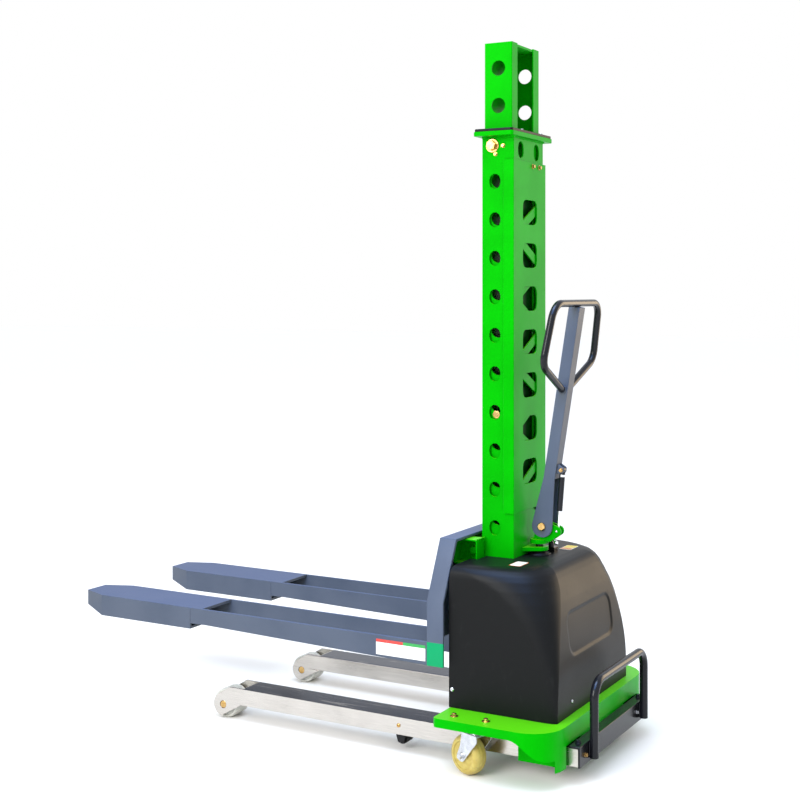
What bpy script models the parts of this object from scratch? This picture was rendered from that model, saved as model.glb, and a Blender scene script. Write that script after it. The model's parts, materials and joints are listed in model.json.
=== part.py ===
"""Self-loading stacker forklift: one fixed mast column on a wheeled chassis, an inner mast that
carries the forks, two support legs that slide back through the chassis, and a steering tiller.

Metres, +Z up, +X towards the fork tips, +Y to the machine's left.  The origin is on the floor,
under the middle of the machine.  Stations along X are counted from the front of the fork heel,
which the machine_origin empty puts in place.
"""
import math

import bmesh
import bpy
from mathutils import Matrix, Vector

NAME = "stacker_forklift"
GAP = 0.0003            # between pieces that are fixed to each other
CLEARANCE = 0.005       # between pieces that move past each other
SIDES = (("left", 1.0), ("right", -1.0))

# Forks and fork frame
FORK_TIP_X = 1.173
FORK_WIDTH = 0.145
FORK_CENTRE_Y = 0.1975
FORK_TOP_Z = 0.306
FORK_DEPTH = 0.060
FORK_WALL = 0.007
FORK_SLOT_END_X = 0.722         # back edge of the closed top plate
FORK_STEP_X = 0.763             # back edge of the full-depth nose box
FORK_TAPER_RISE = 0.016
NOSE_CHAMFER_X = 0.085
NOSE_CHAMFER_Y = 0.034
NOSE_FACE_HEIGHT = 0.043
HEEL_FRONT_X = 0.005
HEEL_REAR_X = -0.042
HEEL_HALF_WIDTH = 0.2725
HEEL_SHOULDER_Z = 0.410
HEEL_TOP_HALF_WIDTH = 0.200
HEEL_TOP_Z = 0.560
HEEL_WALL = 0.008

# Support legs, which slide through the chassis
LEG_WIDTH = 0.085
LEG_BOTTOM_Z = 0.046
LEG_TOP_Z = 0.091
LEG_FRONT_X = 0.605
LEG_REAR_X = -0.3947
LEG_WALL = 0.003
LEG_PASSAGE = 0.0085            # room beside a leg, with its bolt heads
CHEEK_THICKNESS = 0.006
CHEEK_RADIUS = 0.032
LOAD_WHEEL_X = 0.670
LOAD_WHEEL_RADIUS = 0.040
LOAD_WHEEL_WIDTH = 0.062
LOAD_AXLE_RADIUS = 0.0105
ROLLER_X = 0.108
ROLLER_RADIUS = 0.015
ROLLER_Z = LEG_BOTTOM_Z - ROLLER_RADIUS - 0.002
ROLLER_WIDTH = 0.040
ROLLER_AXLE_RADIUS = 0.004
CROSS_BAR_WALL = 0.005
CROSS_BAR_LIP = 0.006
CROSS_BAR_HALF_WIDTH = 0.246
PULL_BAR_RADIUS = 0.011
PULL_BAR_HALF_WIDTH = 0.180
PULL_BAR_TOP_Z = 0.239
PULL_BAR_BOTTOM_Z = 0.055
PULL_BAR_CORNER = 0.045

# Chassis
CHASSIS_FRONT_X = -0.050
CHASSIS_REAR_X = -0.3665
CHASSIS_HALF_WIDTH = 0.347
CHASSIS_CORNER = 0.090
CHASSIS_NOSE = 0.012
DECK_TOP_Z = 0.143
DECK_THICKNESS = 0.005
SKIRT_WALL = 0.004
SKIRT_BOTTOM_Z = 0.042
SKIRT_CORNER_Z = 0.0725
SKIRT_CORNER_RUN = 0.010
LIP_BOTTOM_Z = 0.1205
LIP_END_X = -0.256
SKIRT_FULL_X = -0.345
RAIL_THICKNESS = 0.006
OUTER_RAIL_FRONT_X = -0.241

# Mast
COLUMN_FRONT_X = -0.065
COLUMN_REAR_X = -0.156
COLUMN_HALF_WIDTH = 0.095
COLUMN_WALL = 0.004
COLUMN_TOP_Z = 1.600
COLUMN_HOLE_X = -0.102
COLUMN_HOLE_WIDTH = 0.032
COLUMN_HOLE_HEIGHT = 0.040
COLUMN_HOLE_DROP = 0.116        # from the column's top to the middle of the highest slot
COLUMN_HOLE_PITCH = 0.1006
COLUMN_HOLE_LOW_Z = 0.450       # no slot's middle is lower
LATTICE_PITCH = 0.171
LATTICE_DROP = 0.110
LATTICE_LOW_Z = 0.600
LATTICE_HALF_WIDTH = 0.058
LATTICE_REACH = 0.118
TOP_HOLE_Y = 0.050
TOP_HOLE_DROP = 0.032
TOP_HOLE_WIDTH = 0.035
TOP_HOLE_HEIGHT = 0.046
COVER_WALL = 0.0035
COVER_SIDE_GAP = 0.0055         # between the column's side and the cover's flange
COVER_REACH = 0.030
COVER_BOTTOM_Z = 0.620
COVER_DROP = 0.061
WINDOW_WIDTH = 0.090
WINDOW_HEIGHT = 0.065
WINDOW_DROP = 0.101
WINDOW_PITCH = 0.1142
WINDOW_CORNER = 0.018
INNER_WALL = 0.004
INNER_FLANGE = 0.036
INNER_STAND = 0.248             # what shows of the inner mast over the column at rest
INNER_FRONT_STEP = 0.003
INNER_HOLE_RADIUS = 0.020
INNER_HOLE_DROP = 0.067
INNER_HOLE_PITCH = 0.098
COLLAR_SIDE_LIP = 0.035
COLLAR_FRONT_LIP = 0.010
COLLAR_REAR_LIP = 0.013
COLLAR_CORNER = 0.008
COLLAR_THICKNESS = 0.0115
PAD_THICKNESS = 0.007
PAD_INSET = 0.002
LIFT_DOWN = 0.205
CYLINDER_X = -0.107
CYLINDER_RADIUS = 0.025
CYLINDER_BORE = 0.0165
CYLINDER_DROP = 0.050
CYLINDER_FLOOR = 0.015
ROD_RADIUS = 0.015
ROD_BOTTOM_Z = 0.420
BRACKET_SIDE_GAP = 0.0055
BRACKET_REACH = 0.0425
BRACKET_REAR_X = -0.074
BRACKET_HEIGHT = 0.0675
BRACKET_WALL = 0.005
CARRIAGE_HALF_WIDTH = 0.075
CARRIAGE_MARGIN = 0.010
TOP_PLATE_DROP = 0.002
TOP_PLATE_THICKNESS = 0.006

# Hood
HOOD_HALF_WIDTH = 0.250
HOOD_FRONT_X = -0.0473
HOOD_WALL = 0.004
HOOD_NOTCH_GAP = 0.007
HOOD_BOTTOM_Z = DECK_TOP_Z + GAP
HOOD_SECTIONS = (
    # height over the deck, back end of the flat side, back of the hood, half width of the back
    # face, how far the side is drawn in
    (0.0000, -0.306, -0.3400, 0.240, 0.0000),
    (0.0567, -0.308, -0.3405, 0.238, 0.0000),
    (0.1067, -0.304, -0.3395, 0.231, 0.0000),
    (0.1567, -0.291, -0.3360, 0.217, 0.0000),
    (0.2017, -0.268, -0.3305, 0.201, 0.0000),
    (0.2417, -0.240, -0.3245, 0.184, 0.0000),
    (0.2767, -0.207, -0.3170, 0.167, 0.0000),
    (0.3067, -0.172, -0.3080, 0.150, 0.0005),
    (0.3287, -0.135, -0.2990, 0.142, 0.0015),
    (0.3427, -0.108, -0.2900, 0.136, 0.0045),
    (0.3527, -0.085, -0.2790, 0.130, 0.0110),
    (0.3577, -0.078, -0.2640, 0.124, 0.0200),
    (0.3597, -0.075, -0.2450, 0.118, 0.0330),
)
HOOD_HEIGHT = HOOD_SECTIONS[-1][0]
HOOD_TOP_Z = HOOD_BOTTOM_Z + HOOD_HEIGHT
HOOD_CORNER_PULL = 0.10             # how far a shoulder's curve stays off its square corner
HOOD_FRONT_SHARE = 0.35             # the front is drawn in this much of what the sides are
PANEL_HALF_WIDTH = 0.150
PANEL_LOW_Z = 0.272
PANEL_HIGH_Z = 0.392
PANEL_CORNER = 0.030
PANEL_DEPTH = 0.002
SHAFT_HOLE_RADIUS = 0.027

# Tiller and steering
STEER_X = -0.187
SHAFT_RADIUS = 0.010
SHAFT_TOP_Z = 0.5325
BEARING_Z = 0.514
BEARING_THICKNESS = 0.010
YOKE_BASE_TOP_Z = 0.5435
YOKE_RADIUS = 0.025
PIVOT_OFFSET_X = -0.015
PIVOT_Z = 0.579
PIVOT_RADIUS = 0.006
TILLER_LEAN = math.radians(9.0)
ARM_WIDTH = 0.038
ARM_DEPTH = 0.031
ARM_PLATE = 0.004
ARM_TUBE_START = 0.130
ARM_TOP = 0.594
ARM_FOOT_RADIUS = 0.029
LOOP_RADIUS = 0.0095
LOOP_FOOT = 0.368
LOOP_WAIST = 0.437
LOOP_WAIST_HALF = 0.172
LOOP_TOP_HALF = 0.152
SPRING_LOWER = (-0.053, 0.568)      # from the steering axis; height above the floor
SPRING_UPPER = (-0.0270, 0.1560)    # from the tilt pivot, in the leaning arm's own frame
SPRING_BARREL_RADIUS = 0.0075
SPRING_ROD_RADIUS = 0.0035
SPRING_BARREL_LENGTH = 0.108
SPRING_ROD_INSERT = 0.042
STEER_WHEEL_RADIUS = 0.0575
STEER_WHEEL_WIDTH = 0.034
STEER_WHEEL_Y = 0.036
STEER_AXLE_RADIUS = 0.008
CROWN_Z = 0.121
CROWN_THICKNESS = 0.010

# Casters
CASTER_X = -0.150
CASTER_Y = 0.300
CASTER_TRAIL = 0.028
CASTER_TURN = math.radians(20.0)
CASTER_WHEEL_RADIUS = 0.050
CASTER_WHEEL_WIDTH = 0.042
CASTER_PLATE_THICKNESS = 0.005
CASTER_PLATE_X = 0.104
CASTER_PLATE_Y = 0.080
CASTER_HEAD_RADIUS = 0.021
CASTER_CROWN_Z = 0.106
CASTER_CHEEK = 0.003
CASTER_AXLE_RADIUS = 0.005

# Heavy blocks under the hood
BLOCK_GAP = 0.010               # between a block and the mast column
BLOCK_FRONT_X = -0.100
BLOCK_REAR_X = -0.255
BLOCK_OUTER_Y = 0.225
BLOCK_LOW_Z = 0.1435
BATTERY_TOP_Z = 0.310
POWER_UNIT_TOP_Z = 0.290

REAR_X = LEG_REAR_X - GAP - CROSS_BAR_WALL - GAP - 2.0 * PULL_BAR_RADIUS
ORIGIN_X = -(FORK_TIP_X + REAR_X) / 2.0
FORK_BOTTOM_Z = FORK_TOP_Z - FORK_DEPTH
COLUMN_HOLE_TOP_Z = COLUMN_TOP_Z - COLUMN_HOLE_DROP
COLUMN_HOLES = int((COLUMN_HOLE_TOP_Z - COLUMN_HOLE_LOW_Z) / COLUMN_HOLE_PITCH) + 1
LATTICE_TOP_Z = COLUMN_TOP_Z - LATTICE_DROP
LATTICE_ROWS = int((LATTICE_TOP_Z - LATTICE_LOW_Z) / (LATTICE_PITCH / 2.0))
TOP_HOLE_Z = COLUMN_TOP_Z - TOP_HOLE_DROP
COVER_HALF_WIDTH = COLUMN_HALF_WIDTH + COVER_SIDE_GAP + COVER_WALL
COVER_TOP_Z = COLUMN_TOP_Z - COVER_DROP
WINDOW_TOP_Z = COVER_TOP_Z - WINDOW_DROP
WINDOWS = int((WINDOW_TOP_Z - WINDOW_HEIGHT - COVER_BOTTOM_Z) / WINDOW_PITCH) + 1
CYLINDER_TOP_Z = COLUMN_TOP_Z - CYLINDER_DROP
INNER_TOP_Z = COLUMN_TOP_Z + INNER_STAND
INNER_HOLE_TOP_Z = INNER_TOP_Z - INNER_HOLE_DROP
INNER_REAR_X = COLUMN_REAR_X + COLUMN_WALL + CLEARANCE
INNER_FRONT_X = COLUMN_FRONT_X - INNER_FRONT_STEP
COLLAR_HALF_WIDTH = COLUMN_HALF_WIDTH + COLLAR_SIDE_LIP
COLLAR_FRONT_X = COLUMN_FRONT_X + COLLAR_FRONT_LIP
COLLAR_REAR_X = COLUMN_REAR_X - COLLAR_REAR_LIP
BRACKET_HALF_INNER = COLUMN_HALF_WIDTH + BRACKET_SIDE_GAP
BRACKET_HALF_OUTER = BRACKET_HALF_INNER + BRACKET_REACH
HOOD_NOTCH_HALF = BRACKET_HALF_OUTER + HOOD_NOTCH_GAP
INNER_HALF_WIDTH = COLUMN_HALF_WIDTH - COLUMN_WALL - CLEARANCE
INNER_BOTTOM_Z = DECK_TOP_Z + LIFT_DOWN + CLEARANCE
COVER_FRONT_FACE_X = COLUMN_REAR_X - GAP
BRACKET_TOP_Z = HEEL_TOP_Z - HEEL_WALL - GAP
BRACKET_BOTTOM_Z = BRACKET_TOP_Z - BRACKET_HEIGHT


# ---------------------------------------------------------------- building tools

def clear_scene():
    """Remove every object that the file opened with."""
    for obj in list(bpy.data.objects):
        bpy.data.objects.remove(obj, do_unlink=True)


def make_collection(name):
    """Return a new collection linked to the scene."""
    collection = bpy.data.collections.new(name)
    bpy.context.scene.collection.children.link(collection)
    return collection


def make_finish(name, color, roughness, metallic=0.0):
    """Return a Principled material."""
    finish = bpy.data.materials.new(name)
    finish.use_nodes = True
    shader = finish.node_tree.nodes["Principled BSDF"]
    shader.inputs["Base Color"].default_value = (*color, 1.0)
    shader.inputs["Roughness"].default_value = roughness
    shader.inputs["Metallic"].default_value = metallic
    return finish


def make_empty(name, parent, location=(0.0, 0.0, 0.0), rotation=(0.0, 0.0, 0.0)):
    """Return an empty that carries pieces, such as a joint's axis."""
    empty = bpy.data.objects.new(name, None)
    PARTS.objects.link(empty)
    empty.parent = parent
    empty.location = location
    empty.rotation_euler = rotation
    return empty


def mesh_from(bm, name):
    """Turn a bmesh into a mesh with its faces pointing out."""
    bmesh.ops.recalc_face_normals(bm, faces=bm.faces)
    mesh = bpy.data.meshes.new(name)
    bm.to_mesh(mesh)
    bm.free()
    return mesh


def add_part(name, mesh, finish, parent, location=(0.0, 0.0, 0.0), smooth=False):
    """Add one named piece of the machine."""
    obj = bpy.data.objects.new(name, mesh)
    PARTS.objects.link(obj)
    obj.parent = parent
    obj.location = location
    mesh.materials.append(finish)
    if smooth:
        mesh.shade_smooth()
        mesh.set_sharp_from_angle(angle=math.radians(35.0))
    return obj


def combine(obj, mesh, operation):
    """Cut a mesh out of a piece, or weld it on, by a Boolean."""
    guide = bpy.data.objects.new(f"{obj.name}_guide_{len(obj.modifiers)}", mesh)
    CUTTERS.objects.link(guide)
    guide.parent = obj.parent
    guide.location = obj.location
    guide.hide_render = True
    guide.display_type = "WIRE"
    boolean = obj.modifiers.new(operation.lower(), "BOOLEAN")
    boolean.operation = operation
    boolean.solver = "EXACT"
    boolean.object = guide


def cut(obj, mesh):
    """Cut a mesh out of a piece."""
    combine(obj, mesh, "DIFFERENCE")


def weld(obj, mesh):
    """Weld a mesh onto a piece."""
    combine(obj, mesh, "UNION")


def less(mesh, other):
    """Return a mesh with another one cut out of it."""
    whole = bpy.data.objects.new("whole", mesh)
    taken = bpy.data.objects.new("taken", other)
    for guide in (whole, taken):
        CUTTERS.objects.link(guide)
    boolean = whole.modifiers.new("difference", "BOOLEAN")
    boolean.operation = "DIFFERENCE"
    boolean.solver = "EXACT"
    boolean.object = taken
    shown = whole.evaluated_get(bpy.context.evaluated_depsgraph_get())
    result = bpy.data.meshes.new_from_object(shown)
    for guide in (whole, taken):
        bpy.data.objects.remove(guide)
    return result


def box_into(bm, low, high):
    """Add a box between two corners to a bmesh."""
    low, high = Vector(low), Vector(high)
    size = high - low
    place = Matrix.Translation((low + high) / 2.0) @ Matrix.Diagonal((*size, 1.0))
    bmesh.ops.create_cube(bm, size=1.0, matrix=place)


def box(low, high):
    """Return a box mesh between two corners."""
    return boxes([(low, high)])


def boxes(corners):
    """Return one mesh of several separate boxes."""
    bm = bmesh.new()
    for low, high in corners:
        box_into(bm, low, high)
    return mesh_from(bm, "box")


def rod_into(bm, centre, axis, radius, length, segments):
    """Add a capped cylinder to a bmesh."""
    turn = Vector((0.0, 0.0, 1.0)).rotation_difference(Vector(axis)).to_matrix().to_4x4()
    bmesh.ops.create_cone(bm, cap_ends=True, segments=segments, radius1=radius,
                          radius2=radius, depth=length,
                          matrix=Matrix.Translation(centre) @ turn)


def rods(centres, axis, radius, length, segments=20):
    """Return one mesh of several separate cylinders."""
    bm = bmesh.new()
    for centre in centres:
        rod_into(bm, centre, axis, radius, length, segments)
    return mesh_from(bm, "rod")


def rod(centre, axis, radius, length, segments=20):
    """Return a cylinder mesh."""
    return rods([centre], axis, radius, length, segments)


def arc_points(centre, radius, start, end, steps):
    """Return points along an arc; the angles are in degrees."""
    points = []
    for i in range(steps + 1):
        angle = math.radians(start + (end - start) * i / steps)
        points.append((centre[0] + radius * math.cos(angle),
                       centre[1] + radius * math.sin(angle)))
    return points


def rounded(corners, steps=4, closed=True):
    """Return an outline with each corner (x, y, radius) rounded by an arc."""
    points = []
    count = len(corners)
    for i, (x, y, radius) in enumerate(corners):
        here = Vector((x, y))
        end_point = not closed and i in (0, count - 1)
        if radius <= 0.0 or end_point:
            points.append((x, y))
            continue
        before = (Vector(corners[i - 1][:2]) - here).normalized()
        after = (Vector(corners[(i + 1) % count][:2]) - here).normalized()
        half = before.angle(after) / 2.0
        reach = radius / math.tan(half)
        centre = here + (before + after).normalized() * (radius / math.sin(half))
        first = here + before * reach - centre
        last = here + after * reach - centre
        sweep = first.angle_signed(last)
        for k in range(steps + 1):
            turned = first.copy()
            turned.rotate(Matrix.Rotation(-sweep * k / steps, 2))
            points.append(tuple(centre + turned))
    return points


def obround(x, y, width, height, steps=5):
    """Return the outline of an upright slot with round ends."""
    radius = width / 2.0
    rise = height / 2.0 - radius
    return (arc_points((x, y + rise), radius, 0.0, 180.0, steps)
            + arc_points((x, y - rise), radius, 180.0, 360.0, steps))


PLANES = {
    "XY": Matrix.Identity(4),
    "XZ": Matrix.Rotation(math.radians(90.0), 4, "X"),
    "YZ": Matrix(((0, 0, 1, 0), (1, 0, 0, 0), (0, 1, 0, 0), (0, 0, 0, 1))),
}


def mesh_of_curve(curve):
    """Return the welded mesh of a curve and remove the curve."""
    obj = bpy.data.objects.new("outline", curve)
    CUTTERS.objects.link(obj)
    graph = bpy.context.evaluated_depsgraph_get()
    mesh = bpy.data.meshes.new_from_object(obj.evaluated_get(graph))
    bpy.data.objects.remove(obj)
    bpy.data.curves.remove(curve)
    bm = bmesh.new()
    bm.from_mesh(mesh)
    bmesh.ops.remove_doubles(bm, verts=bm.verts, dist=0.00001)
    bpy.data.meshes.remove(mesh)
    return bm


def extruded(outlines, plane, low, high):
    """Extrude flat outlines, the inner ones as holes, from low to high across a plane."""
    curve = bpy.data.curves.new("outline", "CURVE")
    curve.dimensions = "2D"
    curve.fill_mode = "BOTH"
    curve.extrude = (high - low) / 2.0
    for outline in outlines:
        spline = curve.splines.new("POLY")
        spline.points.add(len(outline) - 1)
        spline.use_cyclic_u = True
        for point, (x, y) in zip(spline.points, outline):
            point.co = (x, y, 0.0, 1.0)
    bm = mesh_of_curve(curve)
    middle = (low + high) / 2.0
    if plane == "XZ":
        middle = -middle
    bm.transform(PLANES[plane] @ Matrix.Translation((0.0, 0.0, middle)))
    return mesh_from(bm, "plate")


def tube(points, radius, closed=False, resolution=3):
    """Return a round tube along a path."""
    curve = bpy.data.curves.new("path", "CURVE")
    curve.dimensions = "3D"
    curve.bevel_depth = radius
    curve.bevel_resolution = resolution
    curve.use_fill_caps = True
    spline = curve.splines.new("POLY")
    spline.points.add(len(points) - 1)
    spline.use_cyclic_u = closed
    for point, place in zip(spline.points, points):
        point.co = (*place, 1.0)
    return mesh_from(mesh_of_curve(curve), "tube")


def turned(profile, steps=28):
    """Return a solid of revolution about Y from a closed profile of (radius, y)."""
    bm = bmesh.new()
    ring = [bm.verts.new((radius, y, 0.0)) for radius, y in profile]
    edges = [bm.edges.new((ring[i], ring[(i + 1) % len(ring)])) for i in range(len(ring))]
    bmesh.ops.spin(bm, geom=ring + edges, cent=(0.0, 0.0, 0.0), axis=(0.0, 1.0, 0.0),
                   angle=math.tau, steps=steps, use_merge=True)
    bmesh.ops.remove_doubles(bm, verts=bm.verts, dist=0.00001)
    return mesh_from(bm, "turned")


def wheel(radius, width, bore, shoulder):
    """Return a wheel about Y: a tread with rounded shoulders and an open bore."""
    half = width / 2.0
    profile = [(bore, -half), (bore, half)]
    profile += [(radius - shoulder + x, half - shoulder + y)
                for y, x in arc_points((0.0, 0.0), shoulder, 0.0, 90.0, 3)]
    profile += [(radius - shoulder + x, -(half - shoulder) - y)
                for y, x in reversed(arc_points((0.0, 0.0), shoulder, 0.0, 90.0, 3))]
    return turned(profile)


# ---------------------------------------------------------------- chassis

def deck_outline(inset):
    """Return the deck's plan outline, moved in by an inset."""
    front = CHASSIS_FRONT_X - inset
    rear = CHASSIS_REAR_X + inset
    half = CHASSIS_HALF_WIDTH - inset
    corner = CHASSIS_CORNER - inset
    nose = CHASSIS_NOSE
    return rounded([(front, half, nose), (rear, half, corner),
                    (rear, -half, corner), (front, -half, nose)], steps=6)


def skirt_edge_outline():
    """Return the side view of what is cut away under the skirt's S-shaped lower edge."""
    drop = LIP_BOTTOM_Z - SKIRT_CORNER_Z
    run = LIP_END_X - SKIRT_FULL_X
    wave = []
    for i in range(9):
        t = i / 8.0
        wave.append((LIP_END_X - run * t,
                     LIP_BOTTOM_Z - drop * (1.0 - math.cos(math.pi * t)) / 2.0))
    front = CHASSIS_FRONT_X + 0.05
    heel = CHASSIS_REAR_X + SKIRT_CORNER_RUN
    return [(front, -0.01), (front, LIP_BOTTOM_Z)] + wave + [(heel, SKIRT_CORNER_Z), (heel, -0.01)]


def build_chassis_frame():
    """Green welded frame: deck, skirt with leg cut-outs, and rails beside each leg."""
    frame = add_part("chassis_frame",
                     extruded([deck_outline(0.0)], "XY", SKIRT_BOTTOM_Z, DECK_TOP_Z),
                     GREEN, ORIGIN)
    cut(frame, extruded([deck_outline(SKIRT_WALL)], "XY", 0.0, DECK_TOP_Z - DECK_THICKNESS))
    width = CHASSIS_HALF_WIDTH + 0.02
    cut(frame, extruded([skirt_edge_outline()], "XZ", -width, width))
    passage = LEG_WIDTH / 2.0 + LEG_PASSAGE
    rails = []
    deck_under = DECK_TOP_Z - DECK_THICKNESS / 2.0
    rear = CHASSIS_REAR_X + SKIRT_WALL / 2.0
    for _, side in SIDES:
        outer = side * (FORK_CENTRE_Y + passage)
        inner = side * (FORK_CENTRE_Y - passage)
        rails.append(sorted_box((rear, outer, SKIRT_BOTTOM_Z),
                                (OUTER_RAIL_FRONT_X, outer + side * RAIL_THICKNESS, deck_under)))
        rails.append(sorted_box((rear, inner, SKIRT_BOTTOM_Z),
                                (CHASSIS_FRONT_X - SKIRT_WALL / 2.0,
                                 inner - side * RAIL_THICKNESS, deck_under)))
    weld(frame, boxes(rails))
    slots = []
    for _, side in SIDES:
        slots.append(((CHASSIS_REAR_X - 0.01, side * FORK_CENTRE_Y - passage, 0.0),
                      (CHASSIS_REAR_X + 0.02, side * FORK_CENTRE_Y + passage,
                       LEG_TOP_Z + CLEARANCE)))
    cut(frame, boxes(slots))
    cut(frame, rod((STEER_X, 0.0, DECK_TOP_Z), (0, 0, 1), SHAFT_RADIUS + 0.001, 0.05))
    return frame


def sorted_box(first, second):
    """Return two opposite corners as the lowest and the highest corner."""
    low = tuple(min(a, b) for a, b in zip(first, second))
    high = tuple(max(a, b) for a, b in zip(first, second))
    return low, high


def smooth_rows(rows, steps):
    """Return rows of numbers with more rows between them, on a smooth curve."""
    result = []
    last = len(rows) - 1
    for i in range(last):
        before, first = rows[max(i - 1, 0)], rows[i]
        second, after = rows[i + 1], rows[min(i + 2, last)]
        for k in range(steps):
            t = k / steps
            result.append(tuple(
                0.5 * (2.0 * b + (c - a) * t + (2.0 * a - 5.0 * b + 4.0 * c - d) * t ** 2
                       + (3.0 * b - a - 3.0 * c + d) * t ** 3)
                for a, b, c, d in zip(before, first, second, after)))
    result.append(rows[-1])
    return result


def hood_ring(section, wall, count=8):
    """Return one level ring of the hood, moved in by a wall."""
    height, side_end, back, back_half, drawn = section
    height *= (HOOD_HEIGHT - wall) / HOOD_HEIGHT
    level = HOOD_BOTTOM_Z + height
    half = HOOD_HALF_WIDTH - drawn - wall
    front = HOOD_FRONT_X - drawn * HOOD_FRONT_SHARE - wall
    start = Vector((side_end + wall, half))
    end = Vector((back + wall, min(back_half - wall / 2.0, half)))
    corner = Vector((end.x + (start.x - end.x) * HOOD_CORNER_PULL,
                     half - (half - end.y) * HOOD_CORNER_PULL))
    ring = [(front, half, level), (start.x, start.y, level)]
    for i in range(1, count):
        t = i / count
        point = start.lerp(corner, t).lerp(corner.lerp(end, t), t)
        ring.append((point.x, point.y, level))
    ring.append((end.x, end.y, level))
    return ring + [(x, -y, z) for x, y, z in reversed(ring)]


def hood_rings(wall):
    """Return the hood's level rings from the deck up to its rounded top edge."""
    return [hood_ring(section, wall) for section in smooth_rows(HOOD_SECTIONS, 3)]


def loft(rings):
    """Skin a stack of rings, closed at both ends."""
    bm = bmesh.new()
    rows = [[bm.verts.new(point) for point in ring] for ring in rings]
    for lower, upper in zip(rows, rows[1:]):
        for i in range(len(lower)):
            j = (i + 1) % len(lower)
            bm.faces.new((lower[i], lower[j], upper[j], upper[i]))
    bm.faces.new(rows[0])
    bm.faces.new(rows[-1])
    return mesh_from(bm, "loft")


def build_hood():
    """Hollow moulded hood with a notch round the mast, a shaft hole and a sunk panel behind."""
    hood = add_part("hood", loft(hood_rings(0.0)), BLACK_PLASTIC, ORIGIN)
    inner = hood_rings(HOOD_WALL)
    floor = [(x, y, DECK_TOP_Z - 0.01) for x, y, _ in inner[0]]
    cut(hood, loft([floor] + inner))
    top = HOOD_TOP_Z + 0.02
    bottom = DECK_TOP_Z - 0.01
    cut(hood, box((BRACKET_REAR_X - CLEARANCE, -HOOD_NOTCH_HALF, bottom),
                  (HOOD_FRONT_X + 0.01, HOOD_NOTCH_HALF, top)))
    cut(hood, box((COLUMN_REAR_X - GAP, -COLUMN_HALF_WIDTH - GAP, HOOD_TOP_Z - 0.06),
                  (BRACKET_REAR_X, COLUMN_HALF_WIDTH + GAP, top)))
    cut(hood, rod((STEER_X, 0.0, HOOD_TOP_Z), (0, 0, 1), SHAFT_HOLE_RADIUS, 0.05))
    outline = rounded([(PANEL_HALF_WIDTH, PANEL_LOW_Z, PANEL_CORNER),
                       (PANEL_HALF_WIDTH, PANEL_HIGH_Z, PANEL_CORNER),
                       (-PANEL_HALF_WIDTH, PANEL_HIGH_Z, PANEL_CORNER),
                       (-PANEL_HALF_WIDTH, PANEL_LOW_Z, PANEL_CORNER)])
    panel = extruded([outline], "YZ", CHASSIS_REAR_X, HOOD_SECTIONS[-1][2] - PANEL_DEPTH)
    cut(hood, less(panel, loft(hood_rings(PANEL_DEPTH))))
    return hood


def build_heavy_blocks():
    """Battery and hydraulic power unit as plain blocks under the hood."""
    inner = COLUMN_HALF_WIDTH + BLOCK_GAP
    add_part("battery_pack", box((BLOCK_REAR_X, inner, BLOCK_LOW_Z),
                                 (BLOCK_FRONT_X, BLOCK_OUTER_Y, BATTERY_TOP_Z)), DARK_GREY, ORIGIN)
    add_part("power_unit", box((BLOCK_REAR_X, -BLOCK_OUTER_Y, BLOCK_LOW_Z),
                               (BLOCK_FRONT_X, -inner, POWER_UNIT_TOP_Z)), DARK_GREY, ORIGIN)


# ---------------------------------------------------------------- mast

def lattice_outlines():
    """Return the triangular openings of the column's back wall, alternately up and down."""
    outlines = []
    height = LATTICE_PITCH / 2.0
    reach = LATTICE_REACH
    for row in range(LATTICE_ROWS):
        top = LATTICE_TOP_Z - row * height
        lean = 1.0 if row % 2 == 0 else -1.0
        wide = lean * LATTICE_HALF_WIDTH
        outlines.append(rounded([(wide, top, 0.006), (wide, top - reach, 0.006),
                                 (-wide, top - reach / 2.0, 0.006)], steps=2))
    for _, side in SIDES:
        outlines.append(obround(side * TOP_HOLE_Y, TOP_HOLE_Z, TOP_HOLE_WIDTH, TOP_HOLE_HEIGHT))
    return outlines


def build_mast_column():
    """Fixed column, open to the front, with slots down its sides and a braced back wall."""
    wall = COLUMN_WALL
    front, rear, half = COLUMN_FRONT_X, COLUMN_REAR_X, COLUMN_HALF_WIDTH
    section = [(front, half), (rear, half), (rear, -half), (front, -half),
               (front, -half + wall), (rear + wall, -half + wall),
               (rear + wall, half - wall), (front, half - wall)]
    column = add_part("mast_column",
                      extruded([section], "XY", DECK_TOP_Z + GAP, COLUMN_TOP_Z),
                      GREEN, ORIGIN)
    bm = bmesh.new()
    for i in range(COLUMN_HOLES):
        z = COLUMN_HOLE_TOP_Z - i * COLUMN_HOLE_PITCH
        outline = obround(COLUMN_HOLE_X, z, COLUMN_HOLE_WIDTH, COLUMN_HOLE_HEIGHT)
        bm.from_mesh(extruded([outline], "XZ", -half - 0.01, half + 0.01))
    cut(column, mesh_from(bm, "side_slots"))
    openings = bmesh.new()
    for outline in lattice_outlines():
        openings.from_mesh(extruded([outline], "YZ", rear - 0.01, rear + wall + 0.01))
    cut(column, mesh_from(openings, "lattice"))
    return column


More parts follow.
